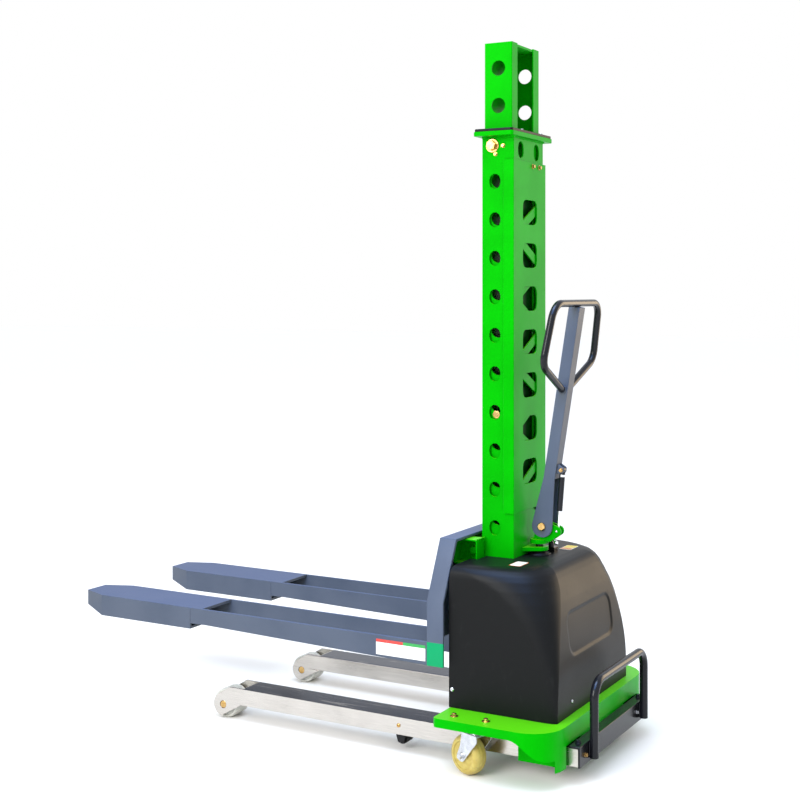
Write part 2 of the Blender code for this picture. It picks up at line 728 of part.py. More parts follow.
def build_rear_cover():
    """Bent sheet over the column's back, with a row of windows."""
    half, wall = COVER_HALF_WIDTH, COVER_WALL
    inner_x = COVER_FRONT_FACE_X
    outer_x = inner_x - wall
    reach_x = outer_x + COVER_REACH
    section = [(reach_x, half), (outer_x, half), (outer_x, -half), (reach_x, -half),
               (reach_x, -half + wall), (inner_x, -half + wall),
               (inner_x, half - wall), (reach_x, half - wall)]
    cover = add_part("mast_rear_cover",
                     extruded([section], "XY", COVER_BOTTOM_Z, COVER_TOP_Z), GREEN, ORIGIN)
    bm = bmesh.new()
    for i in range(WINDOWS):
        top = WINDOW_TOP_Z - i * WINDOW_PITCH
        side, bottom, corner = WINDOW_WIDTH / 2.0, top - WINDOW_HEIGHT, WINDOW_CORNER
        outline = rounded([(side, top, corner), (-side, top, corner),
                           (-side, bottom, corner), (side, bottom, corner)], steps=3)
        bm.from_mesh(extruded([outline], "YZ", outer_x - 0.01, inner_x + 0.01))
    cut(cover, mesh_from(bm, "windows"))
    return cover


def collar_ring(low, high, inset):
    """Return a plate round the inner mast, from low to high."""
    outer = [(COLLAR_FRONT_X - inset, COLLAR_HALF_WIDTH - inset, COLLAR_CORNER),
             (COLLAR_REAR_X + inset, COLLAR_HALF_WIDTH - inset, COLLAR_CORNER),
             (COLLAR_REAR_X + inset, -COLLAR_HALF_WIDTH + inset, COLLAR_CORNER),
             (COLLAR_FRONT_X - inset, -COLLAR_HALF_WIDTH + inset, COLLAR_CORNER)]
    room = CLEARANCE
    hole = [(INNER_FRONT_X + room, INNER_HALF_WIDTH + room),
            (INNER_REAR_X - room, INNER_HALF_WIDTH + room),
            (INNER_REAR_X - room, -INNER_HALF_WIDTH - room),
            (INNER_FRONT_X + room, -INNER_HALF_WIDTH - room)]
    return extruded([rounded(outer), hole], "XY", low, high)


def build_collar():
    """Collar plate on top of the column, with a black wear pad on it."""
    low = COLUMN_TOP_Z + GAP
    high = low + COLLAR_THICKNESS
    add_part("mast_collar", collar_ring(low, high, 0.0), GREEN, ORIGIN)
    add_part("collar_wear_pad", collar_ring(high + GAP, high + GAP + PAD_THICKNESS, PAD_INSET),
             BLACK_PLASTIC, ORIGIN)


def build_inner_mast():
    """Inner mast: closed front, side webs with round holes, back flanges and a top plate."""
    wall = INNER_WALL
    front, rear, half = INNER_FRONT_X, INNER_REAR_X, INNER_HALF_WIDTH
    lip = half - INNER_FLANGE
    section = [(front, half), (rear, half), (rear, lip), (rear + wall, lip),
               (rear + wall, half - wall), (front - wall, half - wall),
               (front - wall, -half + wall), (rear + wall, -half + wall),
               (rear + wall, -lip), (rear, -lip), (rear, -half), (front, -half)]
    mast = add_part("inner_mast",
                    extruded([section], "XY", INNER_BOTTOM_Z, INNER_TOP_Z), GREEN, LIFT)
    count = int((INNER_HOLE_TOP_Z - INNER_BOTTOM_Z) / INNER_HOLE_PITCH) + 1
    centres = [((front + rear) / 2.0, 0.0, INNER_HOLE_TOP_Z - i * INNER_HOLE_PITCH)
               for i in range(count)]
    cut(mast, rods(centres, (0, 1, 0), INNER_HOLE_RADIUS, 2.0 * half + 0.02, segments=16))
    plate_top = INNER_TOP_Z - TOP_PLATE_DROP
    weld(mast, box((front - wall / 2.0, -half + wall / 2.0, plate_top - TOP_PLATE_THICKNESS),
                   (rear + wall / 2.0, half - wall / 2.0, plate_top)))
    return mast


def build_lift_cylinder():
    """Hydraulic lift cylinder inside the mast and its rod."""
    height = CYLINDER_TOP_Z - DECK_TOP_Z - GAP
    barrel = add_part("lift_cylinder",
                      rod((CYLINDER_X, 0.0, DECK_TOP_Z + GAP + height / 2.0), (0, 0, 1),
                          CYLINDER_RADIUS, height, segments=24), BLACK_METAL, ORIGIN, smooth=True)
    bore_low = DECK_TOP_Z + CYLINDER_FLOOR
    bore = CYLINDER_TOP_Z + 0.01 - bore_low
    cut(barrel, rod((CYLINDER_X, 0.0, bore_low + bore / 2.0), (0, 0, 1),
                    CYLINDER_BORE, bore, segments=24))
    top = INNER_TOP_Z - TOP_PLATE_DROP - TOP_PLATE_THICKNESS - GAP
    length = top - ROD_BOTTOM_Z
    add_part("lift_rod", rod((CYLINDER_X, 0.0, ROD_BOTTOM_Z + length / 2.0), (0, 0, 1),
                             ROD_RADIUS, length, segments=24), CHROME, LIFT, smooth=True)


# ---------------------------------------------------------------- forks and their frame

def heel_outline(inset, bottom):
    """Return the fork frame's outline seen from the front."""
    half, shoulder = HEEL_HALF_WIDTH - inset, HEEL_SHOULDER_Z - 0.2 * inset
    top_half, top = HEEL_TOP_HALF_WIDTH - inset, HEEL_TOP_Z - inset
    return [(half, bottom), (half, shoulder), (top_half, top),
            (-top_half, top), (-half, shoulder), (-half, bottom)]


def build_fork_frame():
    """Fork heel: front plate with side and top flanges, notched over the legs."""
    frame = add_part("fork_frame",
                     extruded([heel_outline(0.0, FORK_BOTTOM_Z)], "YZ",
                              HEEL_REAR_X, HEEL_FRONT_X), DARK_GREY, LIFT)
    cut(frame, extruded([heel_outline(HEEL_WALL, FORK_BOTTOM_Z - 0.02)], "YZ",
                        HEEL_REAR_X - 0.01, HEEL_FRONT_X - HEEL_WALL))
    room = LEG_WIDTH / 2.0 + LEG_PASSAGE
    top = LEG_TOP_Z + LIFT_DOWN + CLEARANCE + 0.002
    notches = [((HEEL_REAR_X - 0.02, side * FORK_CENTRE_Y - room, FORK_BOTTOM_Z - 0.01),
                (HEEL_FRONT_X + 0.01, side * FORK_CENTRE_Y + room, top)) for _, side in SIDES]
    cut(frame, boxes(notches))
    return frame


def build_fork(label, side):
    """One fork: two side plates behind, and a closed box with a chamfered nose in front."""
    y, half = side * FORK_CENTRE_Y, FORK_WIDTH / 2.0
    back = HEEL_FRONT_X + GAP
    shoulder = FORK_TIP_X - NOSE_CHAMFER_X
    plan = [(back, y - half), (shoulder, y - half), (FORK_TIP_X, y - half + NOSE_CHAMFER_Y),
            (FORK_TIP_X, y + half - NOSE_CHAMFER_Y), (shoulder, y + half), (back, y + half)]
    fork = add_part(f"fork_{label}", extruded([plan], "XY", FORK_BOTTOM_Z, FORK_TOP_Z),
                    DARK_GREY, LIFT)
    room = half - FORK_WALL
    cut(fork, box((back - 0.01, y - room, FORK_BOTTOM_Z - 0.01),
                  (FORK_SLOT_END_X, y + room, FORK_TOP_Z + 0.01)))
    cut(fork, box((FORK_SLOT_END_X - 0.01, y - room, FORK_BOTTOM_Z + FORK_WALL),
                  (shoulder - 0.01, y + room, FORK_TOP_Z - FORK_WALL)))
    under = FORK_BOTTOM_Z - 0.01
    step_z = FORK_BOTTOM_Z + FORK_TAPER_RISE
    step_start = FORK_STEP_X - 0.07
    cut(fork, extruded([[(back - 0.01, under), (back - 0.01, FORK_BOTTOM_Z),
                         (step_start, step_z), (FORK_STEP_X, step_z), (FORK_STEP_X, under)]],
                       "XZ", y - half - 0.01, y + half + 0.01))
    nose_z = FORK_TOP_Z - NOSE_FACE_HEIGHT
    cut(fork, extruded([[(shoulder, under), (shoulder, FORK_BOTTOM_Z), (FORK_TIP_X, nose_z),
                         (FORK_TIP_X + 0.01, nose_z), (FORK_TIP_X + 0.01, under)]],
                       "XZ", y - half - 0.01, y + half + 0.01))
    return fork


def build_carriage():
    """Pieces that join the fork frame to the inner mast."""
    add_part("carriage_mount",
             box((INNER_FRONT_X + GAP, -CARRIAGE_HALF_WIDTH, INNER_BOTTOM_Z + CARRIAGE_MARGIN),
                 (HEEL_FRONT_X - HEEL_WALL - GAP, CARRIAGE_HALF_WIDTH,
                  HEEL_TOP_Z - HEEL_WALL - CARRIAGE_MARGIN)),
             GREEN, LIFT)
    wall = BRACKET_WALL
    for label, side in SIDES:
        outline = [(BRACKET_HALF_INNER, BRACKET_BOTTOM_Z), (BRACKET_HALF_OUTER, BRACKET_BOTTOM_Z),
                   (BRACKET_HALF_OUTER, BRACKET_TOP_Z), (BRACKET_HALF_INNER, BRACKET_TOP_Z),
                   (BRACKET_HALF_INNER, BRACKET_TOP_Z - wall),
                   (BRACKET_HALF_OUTER - wall, BRACKET_TOP_Z - wall),
                   (BRACKET_HALF_OUTER - wall, BRACKET_BOTTOM_Z + wall),
                   (BRACKET_HALF_INNER, BRACKET_BOTTOM_Z + wall)]
        add_part(f"carriage_bracket_{label}",
                 extruded([[(side * y, z) for y, z in outline]], "YZ",
                          BRACKET_REAR_X, HEEL_FRONT_X - HEEL_WALL - GAP), GREEN, LIFT)


# ---------------------------------------------------------------- support legs

def cheek_outline():
    """Return the side view of the plates that hold a load wheel."""
    back = LEG_FRONT_X - 0.030
    axle = (LOAD_WHEEL_X, LOAD_WHEEL_RADIUS)
    top = LEG_TOP_Z
    nose = arc_points(axle, CHEEK_RADIUS, -80.0, 60.0, 8)
    return [(back, LEG_BOTTOM_Z), (LEG_FRONT_X + 0.004, LEG_BOTTOM_Z)] + nose + [
        (LOAD_WHEEL_X - 0.022, top), (back, top)]


def build_leg(label, side):
    """One support leg: a rectangular tube with cheeks for its load wheel."""
    y, half = side * FORK_CENTRE_Y, LEG_WIDTH / 2.0
    leg = add_part(f"leg_{label}", box((LEG_REAR_X, y - half, LEG_BOTTOM_Z),
                                       (LEG_FRONT_X, y + half, LEG_TOP_Z)), STAINLESS, LEGS)
    cut(leg, box((LEG_REAR_X - 0.01, y - half + LEG_WALL, LEG_BOTTOM_Z + LEG_WALL),
                 (LEG_FRONT_X + 0.01, y + half - LEG_WALL, LEG_TOP_Z - LEG_WALL)))
    cheeks = bmesh.new()
    for edge in (-1.0, 1.0):
        faces = sorted((y + edge * half, y + edge * (half - CHEEK_THICKNESS)))
        cheeks.from_mesh(extruded([cheek_outline()], "XZ", *faces))
    weld(leg, mesh_from(cheeks, "cheeks"))
    cut(leg, rod((LOAD_WHEEL_X, y, LOAD_WHEEL_RADIUS), (0, 1, 0),
                 LOAD_AXLE_RADIUS + GAP, LEG_WIDTH + 0.02, segments=24))
    add_part(f"load_axle_{label}", rod((LOAD_WHEEL_X, y, LOAD_WHEEL_RADIUS), (0, 1, 0),
                                       LOAD_AXLE_RADIUS, LEG_WIDTH + 0.002, segments=24),
             BRASS, LEGS, smooth=True)
    place = (LOAD_WHEEL_X, y, LOAD_WHEEL_RADIUS)
    add_part(f"load_wheel_{label}", wheel(LOAD_WHEEL_RADIUS, LOAD_WHEEL_WIDTH,
                                          LOAD_AXLE_RADIUS + 0.0005, 0.006),
             NYLON, LEGS, place, smooth=True)
    build_leg_roller(label, y)


def build_leg_roller(label, y):
    """Small guide roller in a bracket under a leg."""
    half = ROLLER_WIDTH / 2.0
    top = LEG_BOTTOM_Z - GAP
    plate_low = top - 0.0035
    bracket = add_part(f"roller_bracket_{label}",
                       box((ROLLER_X - 0.035, y - half - 0.006, plate_low),
                           (ROLLER_X + 0.035, y + half + 0.006, top)), BLACK_METAL, LEGS)
    cut(bracket, box((ROLLER_X - ROLLER_RADIUS - 0.003, y - half - 0.002, plate_low - 0.01),
                     (ROLLER_X + ROLLER_RADIUS + 0.003, y + half + 0.002, top + 0.01)))
    ears = bmesh.new()
    ear = rounded([(ROLLER_X - 0.016, top - 0.001, 0.0), (ROLLER_X - 0.008, ROLLER_Z - 0.010, 0.006),
                   (ROLLER_X + 0.008, ROLLER_Z - 0.010, 0.006), (ROLLER_X + 0.016, top - 0.001, 0.0)])
    for edge in (-1.0, 1.0):
        faces = sorted((y + edge * (half + 0.002), y + edge * (half + 0.006)))
        ears.from_mesh(extruded([ear], "XZ", *faces))
    weld(bracket, mesh_from(ears, "ears"))
    weld(bracket, rod((ROLLER_X, y, ROLLER_Z), (0, 1, 0), ROLLER_AXLE_RADIUS,
                      ROLLER_WIDTH + 0.010, segments=16))
    add_part(f"leg_roller_{label}", wheel(ROLLER_RADIUS, ROLLER_WIDTH,
                                          ROLLER_AXLE_RADIUS + 0.0005, 0.003),
             BLACK_PLASTIC, LEGS, (ROLLER_X, y, ROLLER_Z), smooth=True)


def build_cross_bar():
    """Black angle over the legs' back ends that ties them, and the pull bar on it."""
    front = CHASSIS_REAR_X - CLEARANCE
    inside = LEG_REAR_X - GAP
    rear = inside - CROSS_BAR_WALL
    low = LEG_TOP_Z + GAP
    high = low + CROSS_BAR_LIP
    half = CROSS_BAR_HALF_WIDTH
    section = [(front, low), (front, high), (rear, high), (rear, LEG_BOTTOM_Z),
               (inside, LEG_BOTTOM_Z), (inside, low)]
    add_part("rear_cross_bar", extruded([section], "XZ", -half, half), BLACK_METAL, LEGS)
    x = rear - GAP - PULL_BAR_RADIUS
    half, corner = PULL_BAR_HALF_WIDTH, PULL_BAR_CORNER
    path = rounded([(half, PULL_BAR_BOTTOM_Z, 0.0), (half, PULL_BAR_TOP_Z, corner),
                    (-half, PULL_BAR_TOP_Z, corner), (-half, PULL_BAR_BOTTOM_Z, 0.0)],
                   steps=6, closed=False)
    add_part("pull_bar", tube([(x, y, z) for y, z in path], PULL_BAR_RADIUS),
             BLACK_METAL, LEGS, smooth=True)


# ---------------------------------------------------------------- tiller and steering

def build_steering():
    """Bearing plate on the mast, steering shaft, tiller yoke and twin steered wheel."""
    low = BEARING_Z
    high = low + BEARING_THICKNESS
    plate = [(COLUMN_REAR_X - GAP, 0.045), (COLUMN_REAR_X - GAP, -0.045)]
    plate += [(x + STEER_X, y) for x, y in arc_points((0.0, 0.0), 0.024, 250.0, 110.0, 8)]
    bearing = add_part("steering_bearing", extruded([plate], "XY", low, high), GREEN, ORIGIN)
    cut(bearing, rod((STEER_X, 0.0, low), (0, 0, 1), SHAFT_RADIUS + 0.0008, 0.05))

    shaft_low = CROWN_Z + CROWN_THICKNESS + GAP
    length = SHAFT_TOP_Z - shaft_low
    add_part("steering_shaft", rod((0.0, 0.0, shaft_low + length / 2.0), (0, 0, 1),
                                   SHAFT_RADIUS, length), BLACK_METAL, STEER, smooth=True)

    base_low = SHAFT_TOP_Z + GAP
    yoke = add_part("tiller_yoke", rod((0.0, 0.0, (base_low + YOKE_BASE_TOP_Z) / 2.0), (0, 0, 1),
                                       YOKE_RADIUS, YOKE_BASE_TOP_Z - base_low, segments=24),
                    GREEN, STEER)
    lug = [(0.014, YOKE_BASE_TOP_Z - 0.004)]
    lug += arc_points((PIVOT_OFFSET_X, PIVOT_Z), 0.016, 0.0, 130.0, 6)
    lug += arc_points(SPRING_LOWER, 0.013, 100.0, 250.0, 6)
    lug += [(-0.035, YOKE_BASE_TOP_Z - 0.004)]
    half = ARM_WIDTH / 2.0 - ARM_PLATE - 0.003
    weld(yoke, extruded([lug], "XZ", -half, half))
    cut(yoke, rod((PIVOT_OFFSET_X, 0.0, PIVOT_Z), (0, 1, 0), PIVOT_RADIUS + GAP, 0.06))
    lower_x, lower_z = SPRING_LOWER
    cut(yoke, box((lower_x - 0.020, -0.0060, lower_z - 0.0145), (lower_x + 0.0145, 0.0060, 0.62)))
    bolt = add_part("tiller_pivot_bolt", rod((PIVOT_OFFSET_X, 0.0, PIVOT_Z), (0, 1, 0),
                                             PIVOT_RADIUS, ARM_WIDTH + 0.006), BRASS, STEER)
    heads = [(PIVOT_OFFSET_X, side * (ARM_WIDTH / 2.0 + 0.0035), PIVOT_Z) for _, side in SIDES]
    weld(bolt, rods(heads, (0, 1, 0), 0.0105, 0.006, segments=24))
    build_steer_wheels()


def build_steer_wheels():
    """Crown and cheeks of the steered wheel, and the twin wheel on its axle."""
    z = STEER_WHEEL_RADIUS
    crown = add_part("steer_wheel_fork",
                     box((-0.024, -0.0075, CROWN_Z), (0.024, 0.0075, CROWN_Z + CROWN_THICKNESS)),
                     BLACK_METAL, STEER)
    spine = [(-0.022, CROWN_Z + 0.002), (0.022, CROWN_Z + 0.002)]
    spine += arc_points((0.0, z), 0.018, 0.0, -180.0, 8)
    weld(crown, extruded([spine], "XZ", -0.0075, 0.0075))
    cut(crown, rod((0.0, 0.0, z), (0, 1, 0), STEER_AXLE_RADIUS + 0.0005, 0.05))
    half = STEER_WHEEL_WIDTH / 2.0
    shoulder = 0.006
    outer = STEER_WHEEL_Y + half
    inner = STEER_WHEEL_Y - half
    radius = STEER_WHEEL_RADIUS
    side = [(STEER_AXLE_RADIUS, 0.0), (STEER_AXLE_RADIUS, inner), (radius - shoulder, inner),
            (radius - 0.0018, inner + 0.0018), (radius, inner + shoulder),
            (radius, outer - shoulder), (radius - 0.0018, outer - 0.0018),
            (radius - shoulder, outer), (0.016, outer), (0.012, outer + 0.004), (0.0, outer + 0.004)]
    profile = side[::-1] + [(r, -y) for r, y in side[1:]]
    bm = bmesh.new()
    ring = [bm.verts.new((r, y, 0.0)) for r, y in profile]
    edges = [bm.edges.new(pair) for pair in zip(ring, ring[1:])]
    bmesh.ops.spin(bm, geom=ring + edges, cent=(0, 0, 0), axis=(0, 1, 0), angle=math.tau,
                   steps=28, use_merge=True)
    bmesh.ops.remove_doubles(bm, verts=bm.verts, dist=0.00001)
    add_part("steer_wheels", mesh_from(bm, "twin_wheel"), NYLON, STEER, (0.0, 0.0, z), smooth=True)


def build_tiller():
    """Tiller arm and hand loop, built upright in the leaning frame of the tilt pivot."""
    half, plate = ARM_WIDTH / 2.0, ARM_PLATE
    foot = arc_points((0.0, 0.0), ARM_FOOT_RADIUS, 180.0, 360.0, 10)
    depth = ARM_DEPTH / 2.0
    outline = foot + [(depth, ARM_TUBE_START), (depth, ARM_TUBE_START + 0.02),
                      (-depth, ARM_TUBE_START + 0.02), (-depth, ARM_TUBE_START)]
    arm = add_part("tiller_arm",
                   box((-depth, -half, ARM_TUBE_START), (depth, half, ARM_TOP - LOOP_RADIUS - GAP)),
                   DARK_GREY, TILT)
    plates = bmesh.new()
    for edge in (-1.0, 1.0):
        faces = sorted((edge * half, edge * (half - plate)))
        plates.from_mesh(extruded([outline], "XZ", *faces))
    weld(arm, mesh_from(plates, "foot_plates"))
    upper_x, upper_u = SPRING_UPPER
    ears = bmesh.new()
    ear = rounded([(-depth + 0.002, upper_u - 0.012, 0.0), (-depth + 0.002, upper_u + 0.016, 0.0),
                   (upper_x - 0.007, upper_u + 0.007, 0.005), (upper_x - 0.007, upper_u - 0.007, 0.005)])
    for edge in (-1.0, 1.0):
        faces = sorted((edge * 0.0080, edge * 0.0110))
        ears.from_mesh(extruded([ear], "XZ", *faces))
    weld(arm, mesh_from(ears, "spring_ears"))
    cut(arm, rod((0.0, 0.0, 0.0), (0, 1, 0), PIVOT_RADIUS + 0.0006, 0.06))
    hollow = half - plate
    cut(arm, box((-depth + 0.003, -hollow, ARM_TUBE_START - 0.01),
                 (depth - 0.003, hollow, ARM_TOP - 0.03)))
    side_gap = half + GAP + 0.0040
    path = rounded([(side_gap, LOOP_FOOT, 0.0), (LOOP_WAIST_HALF, LOOP_WAIST, 0.040),
                    (LOOP_TOP_HALF, ARM_TOP, 0.045), (-LOOP_TOP_HALF, ARM_TOP, 0.045),
                    (-LOOP_WAIST_HALF, LOOP_WAIST, 0.040), (-side_gap, LOOP_FOOT, 0.0)],
                   steps=5, closed=False)
    add_part("tiller_loop", tube([(0.0, y, u) for y, u in path], LOOP_RADIUS),
             BLACK_METAL, TILT, smooth=True)


def build_gas_spring():
    """Gas spring that lifts the tiller: barrel pinned to the arm, rod down to the yoke."""
    radius = SPRING_BARREL_RADIUS
    eye = 0.0065
    low = -SPRING_BARREL_LENGTH
    barrel = add_part("gas_spring_barrel",
                      rod((0.0, 0.0, (low - eye) / 2.0), (0, 0, 1), radius, -low - eye),
                      BLACK_METAL, SPRING, smooth=True)
    weld(barrel, rod((0.0, 0.0, 0.0), (0, 1, 0), 0.0075, 0.0120))
    cut(barrel, rod((0.0, 0.0, (low - 0.012) / 2.0 - 0.004), (0, 0, 1),
                    SPRING_ROD_RADIUS + 0.0006, -low - 0.012))
    reach = spring_length()
    rod_top = -SPRING_BARREL_LENGTH + SPRING_ROD_INSERT
    piece = add_part("gas_spring_rod",
                     rod((0.0, 0.0, (rod_top - reach + 0.004) / 2.0), (0, 0, 1),
                         SPRING_ROD_RADIUS, reach - 0.004 + rod_top), CHROME, SPRING, smooth=True)
    weld(piece, rod((0.0, 0.0, -reach), (0, 1, 0), 0.0075, 0.0080))
    cut(piece, rod((0.0, 0.0, -reach), (0, 1, 0), 0.0042, 0.03))


def spring_upper_place():
    """Return the gas spring's upper eye, from the steering axis and the floor."""
    x, u = SPRING_UPPER
    lean = TILLER_LEAN
    return (PIVOT_OFFSET_X + x * math.cos(lean) - u * math.sin(lean),
            PIVOT_Z + x * math.sin(lean) + u * math.cos(lean))


def spring_length():
    """Return the distance between the gas spring's eyes."""
    upper = spring_upper_place()
    return math.hypot(upper[0] - SPRING_LOWER[0], upper[1] - SPRING_LOWER[1])


def spring_turn():
    """Return the gas spring's angle from upright, about Y."""
    upper = spring_upper_place()
    return math.atan2(upper[0] - SPRING_LOWER[0], upper[1] - SPRING_LOWER[1])


# ---------------------------------------------------------------- casters

def build_caster(label, side):
    """One swivel caster: top plate, swivelling fork with its axle, and wheel."""
    y = side * CASTER_Y
    top = DECK_TOP_Z - DECK_THICKNESS - GAP
    low = top - CASTER_PLATE_THICKNESS
    add_part(f"caster_plate_{label}",
             box((CASTER_X - CASTER_PLATE_X / 2.0, y - CASTER_PLATE_Y / 2.0, low),
                 (CASTER_X + CASTER_PLATE_X / 2.0, y + CASTER_PLATE_Y / 2.0, top)),
             ZINC, ORIGIN)
    swivel = make_empty(f"caster_axis_{label}", ORIGIN, (CASTER_X, y, 0.0),
                        (0.0, 0.0, -side * CASTER_TURN))
    head_top = low - GAP
    crown_top = CASTER_CROWN_Z + 0.004
    half = CASTER_WHEEL_WIDTH / 2.0 + 0.0025
    fork = add_part(f"caster_fork_{label}",
                    rod((0.0, 0.0, (crown_top - 0.002 + head_top) / 2.0), (0, 0, 1),
                        CASTER_HEAD_RADIUS, head_top - crown_top + 0.002, segments=24),
                    ZINC, swivel)
    weld(fork, box((-0.026, -half - CASTER_CHEEK, CASTER_CROWN_Z),
                   (0.026, half + CASTER_CHEEK, crown_top)))
    axle = (CASTER_TRAIL, CASTER_WHEEL_RADIUS)
    cheek = [(0.026, CASTER_CROWN_Z + 0.003), (-0.026, CASTER_CROWN_Z + 0.003),
             (-0.026, CASTER_CROWN_Z - 0.012)]
    cheek += arc_points(axle, 0.014, -150.0, 10.0, 8) + [(0.026 + 0.006, 0.075)]
    plates = bmesh.new()
    for edge in (-1.0, 1.0):
        faces = sorted((edge * half, edge * (half + CASTER_CHEEK)))
        plates.from_mesh(extruded([cheek], "XZ", *faces))
    weld(fork, mesh_from(plates, "caster_cheeks"))
    weld(fork, rod((axle[0], 0.0, axle[1]), (0, 1, 0), CASTER_AXLE_RADIUS,
                   2.0 * (half + CASTER_CHEEK) + 0.006, segments=16))
    add_part(f"caster_wheel_{label}", wheel(CASTER_WHEEL_RADIUS, CASTER_WHEEL_WIDTH,
                                            CASTER_AXLE_RADIUS + 0.0005, 0.012),
             CREAM_NYLON, swivel, (axle[0], 0.0, axle[1]), smooth=True)


# ---------------------------------------------------------------- the machine

clear_scene()
PARTS = make_collection(NAME)
CUTTERS = make_collection("cutters")

GREEN = make_finish("green_paint", (0.0, 0.62, 0.0), 0.32)
DARK_GREY = make_finish("dark_grey_paint", (0.075, 0.085, 0.10), 0.42)
BLACK_PLASTIC = make_finish("black_plastic", (0.018, 0.018, 0.02), 0.45)
BLACK_METAL = make_finish("black_metal", (0.012, 0.012, 0.014), 0.30)
STAINLESS = make_finish("stainless_steel", (0.72, 0.70, 0.67), 0.25, 1.0)
CHROME = make_finish("chrome", (0.80, 0.80, 0.80), 0.08, 1.0)
BRASS = make_finish("yellow_zinc", (0.75, 0.52, 0.20), 0.35, 1.0)
ZINC = make_finish("zinc", (0.70, 0.71, 0.73), 0.35, 1.0)
NYLON = make_finish("white_nylon", (0.70, 0.70, 0.66), 0.45)
CREAM_NYLON = make_finish("cream_nylon", (0.78, 0.62, 0.30), 0.45)

ORIGIN = make_empty("machine_origin", None, (ORIGIN_X, 0.0, 0.0))
LIFT = make_empty("lift_guide", ORIGIN)
LEGS = make_empty("leg_guide", ORIGIN)
STEER = make_empty("steer_axis", ORIGIN, (STEER_X, 0.0, 0.0))
TILT = make_empty("tilt_axis", STEER, (PIVOT_OFFSET_X, 0.0, PIVOT_Z), (0.0, -TILLER_LEAN, 0.0))
UPPER_X, UPPER_Z = spring_upper_place()
SPRING = make_empty("spring_axis", STEER, (UPPER_X, 0.0, UPPER_Z), (0.0, spring_turn(), 0.0))

build_chassis_frame()
build_hood()
build_heavy_blocks()
build_mast_column()
build_rear_cover()
build_collar()
build_inner_mast()
build_lift_cylinder()
build_fork_frame()
for LABEL, SIDE in SIDES:
    build_fork(LABEL, SIDE)
    build_leg(LABEL, SIDE)
    build_caster(LABEL, SIDE)
build_carriage()
build_cross_bar()
build_steering()
build_tiller()
build_gas_spring()
bpy.context.view_layer.update()
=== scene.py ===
"""Looks of the self-loading stacker forklift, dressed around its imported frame.

Metres, +Z up, +X towards the fork tips, +Y to the machine's left.  Stations along X are counted
from the front of the fork heel, and HEEL_X puts them in the frame's own place.
"""
import json
import logging
import math
from collections.abc import Callable, Iterable, Sequence
from dataclasses import dataclass, field
from enum import Enum

import bmesh
import bpy
from mathutils import Matrix, Vector
from mathutils.bvhtree import BVHTree

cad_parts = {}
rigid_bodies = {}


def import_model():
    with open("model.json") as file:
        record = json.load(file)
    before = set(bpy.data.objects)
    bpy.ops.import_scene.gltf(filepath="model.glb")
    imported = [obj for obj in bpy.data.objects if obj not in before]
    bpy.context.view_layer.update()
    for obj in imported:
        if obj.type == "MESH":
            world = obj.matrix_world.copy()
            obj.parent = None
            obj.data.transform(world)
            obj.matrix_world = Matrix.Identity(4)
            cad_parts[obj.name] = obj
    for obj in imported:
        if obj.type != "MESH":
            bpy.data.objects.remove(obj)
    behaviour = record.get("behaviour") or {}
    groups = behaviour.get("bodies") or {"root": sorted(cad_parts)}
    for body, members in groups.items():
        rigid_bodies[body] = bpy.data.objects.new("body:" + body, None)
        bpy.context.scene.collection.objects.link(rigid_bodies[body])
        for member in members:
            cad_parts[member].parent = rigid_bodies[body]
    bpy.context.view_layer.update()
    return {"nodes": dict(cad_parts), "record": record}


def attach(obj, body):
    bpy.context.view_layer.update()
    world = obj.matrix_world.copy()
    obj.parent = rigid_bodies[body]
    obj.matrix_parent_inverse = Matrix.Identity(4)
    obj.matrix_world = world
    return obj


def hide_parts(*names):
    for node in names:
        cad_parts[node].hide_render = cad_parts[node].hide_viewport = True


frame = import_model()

Point = tuple[float, float, float]
Color = tuple[float, float, float]
Settings = dict[str, object]

LOG = logging.getLogger("stacker_forklift")
HEEL_X = -0.37535
SIDES = (("left", 1.0), ("right", -1.0))
TURN = 2.0 * math.pi


# ------------------------------------------------------------------ shader tools

class Wire:
    """A value that leaves a node's socket, so that shader maths reads as plain sums."""

    def __init__(self, graph: "Graph", socket: bpy.types.NodeSocket) -> None:
        """Keeps the socket with the graph that new nodes go into."""
        self.graph = graph
        self.socket = socket

    def math(self, operation: str, first: "Wire | float", second: "Wire | float") -> "Wire":
        """Adds a Math node."""
        return self.graph.node("ShaderNodeMath", {"operation": operation}, {0: first, 1: second})

    def span(self, low: float, high: float) -> "Wire":
        """Runs from 0 at low to 1 at high, softly and within those two."""
        return self.graph.node("ShaderNodeMapRange", {"interpolation_type": "SMOOTHSTEP"},
                               {"Value": self, "From Min": low, "From Max": high})


def operator(operation: str, swapped: bool = False) -> Callable[[Wire, Wire | float], Wire]:
    """Makes a Python operator of wires that adds a Math node.

    Args:
        operation: the Math node's operation.
        swapped: whether the other value comes first.

    Returns:
        The operator.
    """
    def apply(wire: Wire, other: Wire | float) -> Wire:
        """Adds the node for two values."""
        return wire.math(operation, other, wire) if swapped else wire.math(operation, wire, other)
    return apply


for sign, kind in (("add", "ADD"), ("sub", "SUBTRACT"), ("mul", "MULTIPLY"), ("truediv", "DIVIDE")):
    setattr(Wire, f"__{sign}__", operator(kind))
    setattr(Wire, f"__r{sign}__", operator(kind, True))
Wire.__gt__, Wire.__lt__ = operator("GREATER_THAN"), operator("LESS_THAN")
Wire.__abs__ = lambda wire: wire.math("ABSOLUTE", wire, 0.0)


